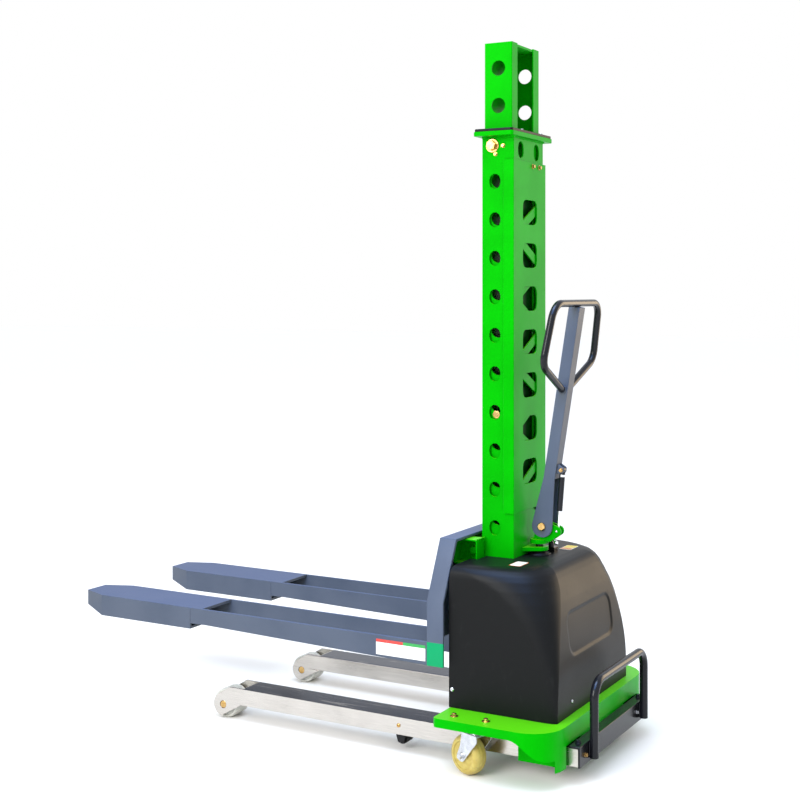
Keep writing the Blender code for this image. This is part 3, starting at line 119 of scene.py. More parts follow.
class Graph:
    """The node tree of a material around its Principled shader, or of the world."""

    def __init__(self, holder: bpy.types.Material | bpy.types.World) -> None:
        """Turns nodes on in a material or a world, and keeps its tree."""
        self.material = holder
        holder.use_nodes = True
        self.tree = holder.node_tree

    def node(self, kind: str, settings: Settings | None = None,
             inputs: dict[str | int, object] | None = None, output: str | int = 0) -> Wire:
        """Adds any node.

        Args:
            kind: the node's type.
            settings: its settings, set first; "stops" are a ramp's stops.
            inputs: values or wires of its sockets, by name or number.
            output: which of its outputs comes back.

        Returns:
            The chosen output.
        """
        made = self.tree.nodes.new(kind)
        for key, value in (settings or {}).items():
            if key == "stops":
                ramp = made.color_ramp
                while len(ramp.elements) < len(value):
                    ramp.elements.new(1.0)
                for element, (place, shade) in zip(ramp.elements, value):
                    element.position = place
                    element.color = (*shade, 1.0)
            else:
                setattr(made, key, value)
        for key, value in (inputs or {}).items():
            self.feed(made.inputs[key], value)
        return Wire(self, made.outputs[output])

    def feed(self, socket: bpy.types.NodeSocket, value: object) -> None:
        """Links a wire to a socket, or sets its own value.

        Args:
            socket: an input socket.
            value: a wire, a number or a tuple.
        """
        if isinstance(value, Wire):
            self.tree.links.new(value.socket, socket)
        elif isinstance(value, tuple) and len(value) == 3 and socket.type == "RGBA":
            socket.default_value = (*value, 1.0)
        else:
            socket.default_value = value

    def surface(self, **sockets: object) -> bpy.types.Material:
        """Sets the Principled shader's sockets.

        Args:
            **sockets: values or wires, with _ for the spaces in a socket's name.

        Returns:
            The finished material.
        """
        for key, value in sockets.items():
            self.feed(self.tree.nodes["Principled BSDF"].inputs[key.replace("_", " ")], value)
        return self.material

    def place(self, stretch: Point = (1.0, 1.0, 1.0)) -> Wire:
        """The point on the piece at rest, in metres, with each axis scaled.

        Args:
            stretch: the factor of each axis.

        Returns:
            The point.
        """
        point = self.node("ShaderNodeTexCoord", output="Object")
        if stretch == (1.0, 1.0, 1.0):
            return point
        return self.node("ShaderNodeVectorMath", {"operation": "MULTIPLY"}, {0: point, 1: stretch})

    def axes(self) -> tuple[Wire, Wire, Wire]:
        """The three coordinates of the point on the piece at rest."""
        return tuple(self.node("ShaderNodeSeparateXYZ", None, {0: self.place()}, axis)
                     for axis in range(3))

    def upward(self) -> Wire:
        """How far the surface faces up: 1 on a level top, 0 on a wall."""
        normal = self.node("ShaderNodeNewGeometry", output="Normal")
        return self.node("ShaderNodeSeparateXYZ", None, {0: normal}, "Z")

    def noise(self, scale: float, detail: float = 3.0, stretch: Point = (1.0, 1.0, 1.0),
              distortion: float = 0.0) -> Wire:
        """Smooth noise from 0 to 1."""
        return self.node("ShaderNodeTexNoise", None,
                         {"Vector": self.place(stretch), "Scale": scale, "Detail": detail,
                          "Distortion": distortion})

    def mix(self, mask: "Wire | float", low: "Wire | Color", high: "Wire | Color") -> Wire:
        """Blends two colours."""
        return self.node("ShaderNodeMix", {"data_type": "RGBA"}, {0: mask, 6: low, 7: high}, 2)

    def relief(self, height: Wire, depth: float, strength: float = 1.0,
               under: Wire | None = None) -> Wire:
        """Turns a height into a bumped normal.

        Args:
            height: the height, from 0 to 1.
            depth: the metres that 1 stands for.
            strength: how much of it shows.
            under: a normal that it lies on.

        Returns:
            The normal.
        """
        inputs: dict[str | int, object] = {"Height": height, "Distance": depth,
                                           "Strength": strength}
        if under is not None:
            inputs["Normal"] = under
        return self.node("ShaderNodeBump", None, inputs)

    def soft_edges(self, radius: float) -> Wire:
        """A normal that rounds the sharp edges of a piece."""
        return self.node("ShaderNodeBevel", {"samples": 4}, {"Radius": radius})

    def edge_mask(self, radius: float) -> Wire:
        """One on the sharp edges of a piece, and zero on its flats.

        Args:
            radius: how far from an edge it reaches, in metres.

        Returns:
            The mask.
        """
        true_normal = self.node("ShaderNodeNewGeometry", output="Normal")
        along = self.node("ShaderNodeVectorMath", {"operation": "DOT_PRODUCT"},
                          {0: self.soft_edges(radius), 1: true_normal}, output="Value")
        return (1.0 - along).span(0.02, 0.25)


# ----------------------------------------------------------------------- finishes

@dataclass(frozen=True)
class Enamel:
    """Sprayed paint with a faint orange peel, worn edges, and painted light on its level top faces.
    """

    name: str
    color: Color
    shade: Color
    roughness: float = 0.36
    edge: float = 0.0009
    wear: float = 0.35
    wear_color: Color = (0.30, 0.31, 0.30)
    peel: float = 0.00012
    gloss: float = 0.07
    glint: Color = (1.0, 1.0, 1.0)
    # Painted light on level top faces: a painted highlight on the green, a painted sky reflection
    # on the grey.
    painted_top_light: Color | None = None

    def tone(self, g: Graph, cloud: Wire) -> Wire:
        """Gives the paint's colour before wear, with painted light on its level top faces.

        Args:
            g: the material's graph.
            cloud: slow noise over the piece.

        Returns:
            The colour.
        """
        paint = g.mix(cloud.span(0.35, 0.70), self.color, self.shade)
        if self.painted_top_light is None:
            return paint
        # Level top faces take the painted light colour.
        return g.mix(g.upward().span(0.70, 0.98), paint, self.painted_top_light)

    def material(self) -> bpy.types.Material:
        """Builds the material."""
        g = Graph(bpy.data.materials.new(self.name))
        cloud = g.noise(7.0, 4.0)
        speck = g.noise(260.0, 2.0)
        worn = g.edge_mask(self.edge * 1.6) * g.noise(90.0, 4.0).span(0.52, 0.66) * self.wear
        color = g.mix(worn, self.tone(g, cloud), self.wear_color)
        rough = self.roughness + (cloud - 0.5) * 0.10 + (speck - 0.5) * 0.06 + worn * 0.25
        normal = g.relief(g.noise(420.0, 1.0), self.peel, 0.35, under=g.soft_edges(self.edge))
        return g.surface(Base_Color=color, Roughness=rough, Normal=normal,
                         Specular_IOR_Level=self.gloss, Specular_Tint=self.glint)


@dataclass(frozen=True)
class HeelEnamel(Enamel):
    """The fork heel's grey paint, with a teal band where the forks' outer ends meet it."""

    teal: Color = (0.0, 0.24, 0.075)
    band_top: float = 0.3065
    band_inner_y: float = 0.2680

    def tone(self, g: Graph, cloud: Wire) -> Wire:
        """Gives grey paint above, and teal on the low outer ends."""
        _, y, z = g.axes()
        low = (z < self.band_top) * (abs(y) > self.band_inner_y)
        return g.mix(low, super().tone(g, cloud), self.teal)


@dataclass(frozen=True)
class Printed:
    """Printed film with a faint mottle and scuffs."""

    name: str
    color: Color
    roughness: float = 0.42

    def tone(self, g: Graph) -> Wire | Color:
        """Gives the print's colour before scuffs."""
        return self.color

    def material(self) -> bpy.types.Material:
        """Builds the material."""
        g = Graph(bpy.data.materials.new(self.name))
        scuff = g.noise(120.0, 5.0, (1.0, 0.3, 1.0), 0.8).span(0.60, 0.76)
        color = g.mix(scuff * 0.45, self.tone(g), (0.30, 0.30, 0.28))
        return g.surface(Base_Color=color, Roughness=self.roughness + scuff * 0.25,
                         Normal=g.relief(g.noise(300.0, 2.0), 0.00005, 0.4))


@dataclass(frozen=True)
class LabelStrip(Printed):
    """Blank white film with a red and a green strip along its top."""

    red: Color = (0.55, 0.04, 0.03)
    green: Color = (0.02, 0.30, 0.06)
    meeting_x: float = 0.075
    strip_low_z: float = 0.2880

    def tone(self, g: Graph) -> Wire | Color:
        """Gives white below, red and green strips above."""
        x, _, z = g.axes()
        strip = g.mix(x > HEEL_X + self.meeting_x, self.green, self.red)
        return g.mix(z > self.strip_low_z, self.color, strip)


@dataclass(frozen=True)
class Moulded:
    """Moulded plastic with a fine grain and faint rubs."""

    name: str
    color: Color
    rub_color: Color
    roughness: float = 0.40
    grain: float = 0.00010
    grain_scale: float = 900.0
    edge: float = 0.0012
    gloss: float = 0.30

    def material(self) -> bpy.types.Material:
        """Builds the material."""
        g = Graph(bpy.data.materials.new(self.name))
        cloud = g.noise(5.0, 5.0)
        rubs = g.noise(38.0, 6.0, (1.0, 1.0, 0.35), 1.2).span(0.60, 0.78)
        color = g.mix(rubs * 0.35, self.color, self.rub_color)
        rough = self.roughness + (cloud - 0.5) * 0.14 + rubs * 0.08
        normal = g.relief(g.noise(self.grain_scale, 2.0), self.grain, 0.5,
                          under=g.soft_edges(self.edge))
        return g.surface(Base_Color=color, Roughness=rough, Normal=normal,
                         Specular_IOR_Level=self.gloss)


@dataclass(frozen=True)
class Brushed:
    """Steel brushed along one axis, with a painted dark blue reflection on its level top faces up
    to a station along X.
    """

    name: str
    color: Color
    dark: Color
    along: Point = (0.02, 1.0, 1.0)
    lines: float = 900.0
    roughness: float = 0.24
    depth: float = 0.00010
    edge: float = 0.0008
    # Painted reflection: the dark blue laid on level top faces, and the station along X where it
    # stops.
    film: Color = (0.022, 0.032, 0.060)
    painted_reflection_front_x: float = 0.603

    def material(self) -> bpy.types.Material:
        """Builds the material."""
        g = Graph(bpy.data.materials.new(self.name))
        line = g.noise(self.lines, 3.0, self.along)
        cloud = g.noise(9.0, 4.0)
        color = g.mix(line.span(0.30, 0.75) * 0.5 + cloud.span(0.4, 0.8) * 0.4, self.color,
                      self.dark)
        # Painted reflection: level top faces short of that station turn dark blue, broken up by
        # scratches.
        x, _, _ = g.axes()
        top = (g.upward() > 0.80) * (x < HEEL_X + self.painted_reflection_front_x)
        scratch = g.noise(60.0, 6.0, (0.10, 1.0, 1.0), 0.6).span(0.60, 0.72)
        color = g.mix(top * (1.0 - scratch * 0.5), color, self.film)
        rough = self.roughness + (line - 0.5) * 0.16 + (cloud - 0.5) * 0.12
        normal = g.relief(line, self.depth, 0.30, under=g.soft_edges(self.edge))
        return g.surface(Base_Color=color, Metallic=1.0, Roughness=rough, Normal=normal)


@dataclass(frozen=True)
class Plated:
    """Plated steel with a cloudy, slightly grained sheen."""

    name: str
    color: Color
    tint: Color
    roughness: float = 0.25
    grain: float = 0.00004
    edge: float = 0.0005

    def material(self) -> bpy.types.Material:
        """Builds the material."""
        g = Graph(bpy.data.materials.new(self.name))
        cloud = g.noise(70.0, 4.0)
        fine = g.noise(700.0, 2.0)
        color = g.mix(cloud.span(0.35, 0.70), self.color, self.tint)
        rough = self.roughness + (cloud - 0.5) * 0.18 + (fine - 0.5) * 0.08
        normal = g.relief(fine, self.grain, 0.4, under=g.soft_edges(self.edge))
        return g.surface(Base_Color=color, Metallic=1.0, Roughness=rough, Normal=normal)


@dataclass(frozen=True)
class CastNylon:
    """Cast wheel plastic with cloudy depth, turning lines and grime from the floor."""

    name: str
    color: Color
    depth_color: Color
    grime: Color
    roughness: float = 0.36
    edge: float = 0.0010

    def material(self) -> bpy.types.Material:
        """Builds the material."""
        g = Graph(bpy.data.materials.new(self.name))
        cloud = g.noise(45.0, 5.0, distortion=0.8)
        spots = g.noise(160.0, 4.0).span(0.60, 0.74)
        color = g.mix(cloud.span(0.30, 0.72), self.color, self.depth_color)
        color = g.mix(spots * 0.5, color, self.grime)
        rough = self.roughness + (cloud - 0.5) * 0.2 + spots * 0.15
        normal = g.relief(g.noise(520.0, 2.0), 0.00008, 0.4, under=g.soft_edges(self.edge))
        return g.surface(Base_Color=color, Roughness=rough, Normal=normal,
                         Coat_Weight=0.15, Coat_Roughness=0.25)


# --------------------------------------------------------------------- mesh tools

UP, LEFT, BACK = Vector((0.0, 0.0, 1.0)), Vector((0.0, 1.0, 0.0)), Vector((-1.0, 0.0, 0.0))


def at(x: float, y: float, z: float) -> Vector:
    """A point given from the front of the fork heel."""
    return Vector((HEEL_X + x, y, z))


def aimed(place: Vector, way: Vector, spin: float = 0.0) -> Matrix:
    """A placement whose own Z points along a direction."""
    turn = way.to_track_quat("Z", "Y").to_matrix().to_4x4()
    return Matrix.Translation(place) @ turn @ Matrix.Rotation(spin, 4, "Z")


@dataclass
class Piece:
    """One shown piece: a mesh that grows from simple shapes, and then rides on a body."""

    name: str
    body: str
    slot: str
    finish: bpy.types.Material
    bm: bmesh.types.BMesh = field(default_factory=bmesh.new)

    def skin(self, rings: Sequence[Sequence[bmesh.types.BMVert]], capped: bool = True) -> "Piece":
        """Joins rings of points with faces; a ring of one point closes to a tip.

        Args:
            rings: the rings in order.
            capped: whether the first and the last are filled.

        Returns:
            The piece itself.
        """
        for low, high in zip(rings, rings[1:]):
            count = max(len(low), len(high))
            for i in range(count):
                j = (i + 1) % count
                corners = dict.fromkeys((low[i % len(low)], low[j % len(low)],
                                         high[j % len(high)], high[i % len(high)]))
                if len(corners) > 2:
                    self.bm.faces.new(tuple(corners))
        if capped:
            self.bm.faces.new(rings[0][::-1])
            self.bm.faces.new(rings[-1])
        return self

    def lathe(self, profile: Sequence[tuple[float, float]], place: Matrix, segments: int = 32,
              closed: bool = False) -> "Piece":
        """Turns a profile of (radius, height) pairs about a placement's Z, capped if off the axis.

        Args:
            profile: the outline.
            place: where it goes.
            segments: the steps round.
            closed: whether the outline meets itself away from the axis.

        Returns:
            The piece itself.
        """
        rings = []
        for radius, height in profile:
            angles = [TURN * i / segments for i in range(segments if radius > 0.0 else 1)]
            rings.append([self.bm.verts.new(place @ Vector(
                (radius * math.cos(angle), radius * math.sin(angle), height))) for angle in angles])
        return self.skin(rings + rings[:1] if closed else rings, not closed and profile[0][0] > 0.0)

    def ring(self, profile: Sequence[tuple[float, float]], place: Matrix,
             segments: int = 32) -> "Piece":
        """Turns an outline that doesn't touch the axis and meets itself."""
        return self.lathe(profile, place, segments, True)

    def slab(self, low: Vector, high: Vector, soft: float = 0.0008) -> "Piece":
        """Adds a box between two corners, with all its edges softened.

        Args:
            low: one corner.
            high: the opposite corner.
            soft: the width of the softened edges.

        Returns:
            The piece itself.
        """
        size = Vector([abs(high[i] - low[i]) for i in range(3)])
        place = Matrix.Translation((low + high) / 2.0) @ Matrix.Diagonal((*size, 1.0))
        made = bmesh.ops.create_cube(self.bm, size=1.0, matrix=place)
        edges = list({edge for vert in made["verts"] for edge in vert.link_edges})
        bmesh.ops.bevel(self.bm, geom=edges, offset=min(soft, min(size) * 0.4), segments=2,
                        profile=0.7, affect="EDGES")
        return self

    def tray(self, half_x: float, half_y: float, depth: float, wall: float, place: Matrix,
             corner: float = 0.008) -> "Piece":
        """Adds a shallow open box with rounded corners and a soft rim, open towards its Z.

        Args:
            half_x: half its width.
            half_y: half its height.
            depth: its depth.
            wall: the thickness of its walls and floor.
            place: where its floor's outer side goes.
            corner: the radius of its corners.

        Returns:
            The piece itself.
        """
        rings = []
        soft, drop = 0.0005, 0.0010
        for inset, rise in ((0.0, 0.0), (0.0, depth - drop), (soft, depth), (wall - soft, depth),
                            (wall, depth - drop), (wall, wall)):
            outline = rounded_box(half_x - inset, half_y - inset, max(corner - inset, 0.002))
            rings.append([self.bm.verts.new(place @ Vector((x, y, rise))) for x, y in outline])
        return self.skin(rings)

    def tube(self, path: Sequence[Vector], radius: float | Callable[[float], float],
             segments: int = 12) -> "Piece":
        """Runs a round rod along a path.

        Args:
            path: its points.
            radius: its radius, or one that depends on the share of the path.
            segments: the steps round.

        Returns:
            The piece itself.
        """
        last = len(path) - 1
        rings, side = [], None
        for i, point in enumerate(path):
            along = (path[min(i + 1, last)] - path[max(i - 1, 0)]).normalized()
            if side is None:
                side = along.orthogonal().normalized()
            side = (side - along * side.dot(along)).normalized()
            other = along.cross(side)
            reach = radius(i / last) if callable(radius) else radius
            angles = [TURN * k / segments for k in range(segments)]
            rings.append([self.bm.verts.new(
                point + (side * math.cos(angle) + other * math.sin(angle)) * reach)
                for angle in angles])
        return self.skin(rings)

    def hex_bolt(self, place: Vector, way: Vector, across: float, washer: float = 1.9,
                 spin: float = 0.3) -> "Piece":
        """Adds a hexagon head on its washer, with the end of its chamfer.

        Args:
            place: the point on the surface.
            way: away from the surface.
            across: the head's width over flats.
            washer: the washer's width as a share of that.
            spin: the head's turn.

        Returns:
            The piece itself.
        """
        spot = aimed(place, way, spin)
        rim = across * washer / 2.0
        thick = across * 0.13
        self.lathe([(0.0, 0.0), (rim, 0.0), (rim, thick * 0.75), (rim - thick * 0.3, thick),
                    (0.0, thick)], spot, 28)
        corner, tall, flat, rise = (across * share for share in (3.0 ** -0.5, 0.52, 0.44, 0.05))
        self.lathe([(corner, 0.0), (corner, tall - rise), (corner - rise * 0.3, tall - rise * 0.3),
                    (corner - rise, tall)], spot @ Matrix.Translation((0.0, 0.0, thick)), 6)
        return self.lathe([(0.0, 0.0), (flat, 0.0), (flat * 0.96, rise), (0.0, rise)],
                          spot @ Matrix.Translation((0.0, 0.0, thick + tall)), 24)

    def socket_bolt(self, place: Vector, way: Vector, radius: float) -> "Piece":
        """Adds a domed screw head with a sunk hexagon."""
        dome = ((0.0, 0.0), (1.0, 0.0), (1.0, 0.15), (0.93, 0.34), (0.78, 0.48), (0.52, 0.58),
                (0.40, 0.58), (0.38, 0.22), (0.0, 0.20))
        return self.lathe([(radius * r, radius * h) for r, h in dome], aimed(place, way), 24)

    def weld_bead(self, path: Sequence[Vector], radius: float, pitch: float = 0.0045) -> "Piece":
        """Lays a rippled weld bead along a path.

        Args:
            path: its two or more points.
            radius: its radius.
            pitch: the length of one ripple.

        Returns:
            The piece itself.
        """
        points: list[Vector] = []
        for first, second in zip(path, path[1:]):
            steps = max(2, round((second - first).length / (pitch / 3.0)))
            points += [first.lerp(second, k / steps) for k in range(steps)]
        points.append(path[-1])
        last = len(points) - 1
        return self.tube(points, lambda share: radius * (1.0 - 0.16 * (round(share * last) % 3)), 8)

    def cut(self, tool: bmesh.types.BMesh) -> "Piece":
        """Takes a solid away from the piece.

        Args:
            tool: the solid that is taken away; it is used up.

        Returns:
            The piece itself.
        """
        helpers = []
        for name, bm in ((f"{self.name}_blank", self.bm), (f"{self.name}_tool", tool)):
            bmesh.ops.recalc_face_normals(bm, faces=bm.faces)
            mesh = bpy.data.meshes.new(name)
            bm.to_mesh(mesh)
            bm.free()
            helpers.append(bpy.data.objects.new(name, mesh))
            bpy.context.scene.collection.objects.link(helpers[-1])
        blank, cutter = helpers
        removal = blank.modifiers.new("opening", "BOOLEAN")
        removal.operation, removal.solver, removal.object = "DIFFERENCE", "EXACT", cutter
        graph = bpy.context.evaluated_depsgraph_get()
        mesh = bpy.data.meshes.new_from_object(blank.evaluated_get(graph))
        self.bm = bmesh.new()
        self.bm.from_mesh(mesh)
        for helper in helpers:
            spare = helper.data
            bpy.data.objects.remove(helper)
            bpy.data.meshes.remove(spare)
        bpy.data.meshes.remove(mesh)
        return self

    def done(self, smooth: float = 35.0, replaces: Iterable[str] = ()) -> bpy.types.Object:
        """Closes the piece, smooths it, and has it ride on its body.

        Args:
            smooth: the angle in degrees from which an edge stays sharp.
            replaces: the nodes that it stands for.

        Returns:
            The object.
        """
        bmesh.ops.recalc_face_normals(self.bm, faces=self.bm.faces)
        mesh = bpy.data.meshes.new(self.name)
        self.bm.to_mesh(mesh)
        self.bm.free()
        for polygon in mesh.polygons:
            polygon.use_smooth = True
        mesh.set_sharp_from_angle(angle=math.radians(smooth))
        obj = bpy.data.objects.new(self.name, mesh)
        bpy.context.scene.collection.objects.link(obj)
        mesh.materials.append(self.finish)
        weighted = obj.modifiers.new("even_shading", "WEIGHTED_NORMAL")
        weighted.keep_sharp, weighted.weight = True, 100
        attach(obj, self.body)
        if replaces:
            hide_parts(*replaces)
        LOG.info("%s: %d faces on %s", self.name, len(mesh.polygons), self.body)
        return obj


def bent(corners: Sequence[tuple[Vector, float]], steps: int = 10) -> list[Vector]:
    """Runs a path through corners that are each bent to a radius.

    Args:
        corners: the corners, each with its radius.
        steps: the steps of each bend.

    Returns:
        The path's points.
    """
    path = [corners[0][0]]
    for (before, _), (here, radius), (after, _) in zip(corners, corners[1:], corners[2:]):
        first, last = (before - here).normalized(), (after - here).normalized()
        half = first.angle(last) / 2.0
        reach = radius / math.tan(half)
        centre = here + (first + last).normalized() * (radius / math.sin(half))
        start, end = here + first * reach - centre, here + last * reach - centre
        path += [centre + start.slerp(end, k / steps).normalized() * radius
                 for k in range(steps + 1)]
    path.append(corners[-1][0])
    return path


def mirrored(half: Sequence[tuple[float, float]]) -> list[tuple[float, float]]:
    """Closes a turned outline that starts and ends on its middle plane."""
    return [*half, *((radius, -height) for radius, height in reversed(half[1:-1]))]


def rounded_box(half_x: float, half_y: float, radius: float,
                steps: int = 5) -> list[tuple[float, float]]:
    """Outline of a rectangle about the origin with round corners.

    Args:
        half_x: half its width.
        half_y: half its height.
        radius: the radius of its corners.
        steps: the steps of each corner.

    Returns:
        Its corners in order.
    """
    points = []
    for quarter, (sx, sy) in enumerate(((1, 1), (-1, 1), (-1, -1), (1, -1))):
        for k in range(steps + 1):
            angle = TURN / 4.0 * (quarter + k / steps)
            points.append((sx * (half_x - radius) + radius * math.cos(angle),
                           sy * (half_y - radius) + radius * math.sin(angle)))
    return points


# ------------------------------------------------------------------- sub-assemblies

class Slot(Enum):
    """The finish slots of the machine."""

    GREEN = "green_paint"
    GREY = "dark_grey_paint"
    PLASTIC = "black_plastic"
    BLACK = "black_metal"
    STEEL = "stainless_steel"
    CHROME = "chrome"
    BRASS = "yellow_zinc"
    ZINC = "zinc"
    NYLON = "white_nylon"
    CREAM = "cream_nylon"
    BATTERY = "battery_case"


@dataclass(frozen=True)
class Fold:
    """Which long straight edges of a node are folded or drawn, and how widely."""

    way: Point
    length: float
    radius: float
    segments: int = 4


UPRIGHT = Fold((0.0, 0.0, 1.0), 0.5, 0.003)
DRAWN_TUBE = Fold((1.0, 0.0, 0.0), 0.5, 0.0045, 5)
PLATE_EDGE = Fold((1.0, 0.0, 0.0), 0.15, 0.0018, 3)


@dataclass
class Assembly:
    """A part of the machine that builds its pieces from one palette of finishes."""

    palette: dict[Slot, bpy.types.Material]

    def start(self, name: str, body: str, slot: Slot,
              finish: bpy.types.Material | None = None) -> Piece:
        """Begins a piece."""
        return Piece(name, body, slot.value, finish or self.palette[slot])

    def node_mesh(self, node: str) -> bmesh.types.BMesh:
        """Copies a node's surface, welded and with its flat faces whole again."""
        bm = bmesh.new()
        bm.from_mesh(frame["nodes"][node].data)
        bmesh.ops.remove_doubles(bm, verts=bm.verts, dist=2e-6)
        bmesh.ops.dissolve_limit(bm, angle_limit=0.004, verts=bm.verts, edges=bm.edges)
        return bm

    def carry(self, node: str, soft: float = 0.0006, fold: Fold | None = None,
              finish: bpy.types.Material | None = None) -> bpy.types.Object:
        """Stands a finer copy of a node in its place, with real rounded edges.

        Args:
            node: the node.
            soft: the rounding of its sharp edges, or 0.
            fold: its long edges with a wider bend.
            finish: a finish of its own, if it isn't its slot's.

        Returns:
            The new object.
        """
        record = frame["record"]
        body = next(name for name, nodes in record["behaviour"]["bodies"].items() if node in nodes)
        slot = Slot(next(e["material_slot"] for e in record["subparts"] if e["node"] == node))
        bm = self.node_mesh(node)
        if fold is not None:
            way = Vector(fold.way)
            long = [edge for edge in bm.edges if edge.calc_length() > fold.length
                    and abs((edge.verts[1].co - edge.verts[0].co).normalized().dot(way)) > 0.999
                    and len(edge.link_faces) == 2 and edge.calc_face_angle() > 1.0
                    and edge.is_convex]
            bmesh.ops.bevel(bm, geom=long, offset=fold.radius, segments=fold.segments, profile=0.5,
                            affect="EDGES", clamp_overlap=True)
        if soft > 0.0:
            sharp = [edge for edge in bm.edges
                     if len(edge.link_faces) == 2 and edge.calc_face_angle() > 0.9]
            bmesh.ops.bevel(bm, geom=sharp, offset=soft, segments=2, profile=0.6, affect="EDGES",
                            clamp_overlap=True)
        piece = Piece(f"{node}_shell", body, slot.value, finish or self.palette[slot], bm)
        return piece.done(38.0, (node,))

    def label(self, name: str, node: str, centre: Vector, half_size: tuple[float, float],
              finish: bpy.types.Material, proud: float) -> None:
        """Lays a blank label on top of a node, so that it follows its curve.

        Args:
            name: its name.
            node: the node under it.
            centre: a point over its middle.
            half_size: half its width along X and half its length along Y.
            finish: its finish.
            proud: how far its face stands off the surface.
        """
        tree = BVHTree.FromBMesh(self.node_mesh(node))
        piece = self.start(name, "chassis", Slot.NYLON, finish)
        sunk = -0.0006
        rings = []
        for lift, share in ((sunk, 1.0), (proud, 0.995), (proud, 0.75), (proud, 0.5),
                            (proud, 0.25)):
            ring = []
            for x, y in rounded_box(1.0, 1.0, 0.22, 4):
                point = centre + Vector((half_size[0] * x, half_size[1] * y, 0.0)) * share
                hit = tree.ray_cast(point, -UP)[0]
                ring.append(piece.bm.verts.new(point if hit is None else hit + UP * lift))
            rings.append(ring)
        piece.skin(rings).done(50.0)


@dataclass
class Chassis(Assembly):
    """Welded frame, its bolts and weld beads, and the heavy blocks under the hood."""

    deck_z: float = 0.143
    wing_bolts: tuple[tuple[float, float], ...] = ((-0.0922, 0.3087), (-0.1789, 0.3072))
    bolt_across: float = 0.011
    rail_y: float = 0.1975
    rail_reach: float = 0.051
    rail_end_x: float = -0.3612
    column_half: float = 0.0955
    bead: float = 0.0024

    def build(self) -> None:
        """Makes the chassis pieces."""
        self.carry("chassis_frame", 0.0008)
        for node in ("battery_pack", "power_unit"):
            self.carry(node, 0.003)
        bolts = self.start("wing_bolts", "chassis", Slot.BRASS)
        for x, y in self.wing_bolts:
            for _, side in SIDES:
                bolts.hex_bolt(at(x, side * y, self.deck_z), UP, self.bolt_across, spin=x * 40.0)
        bolts.done()
        welds = self.start("frame_welds", "chassis", Slot.GREEN)
        for _, side in SIDES:
            for y in (self.rail_y - self.rail_reach, self.rail_y + self.rail_reach):
                welds.weld_bead([at(self.rail_end_x, side * y, z) for z in (0.045, 0.137)],
                                self.bead)
        for _, side in SIDES:
            welds.weld_bead([at(x, side * self.column_half, self.deck_z + 0.0008)
                             for x in (-0.067, -0.156)], 0.0028)
        welds.done(60.0)


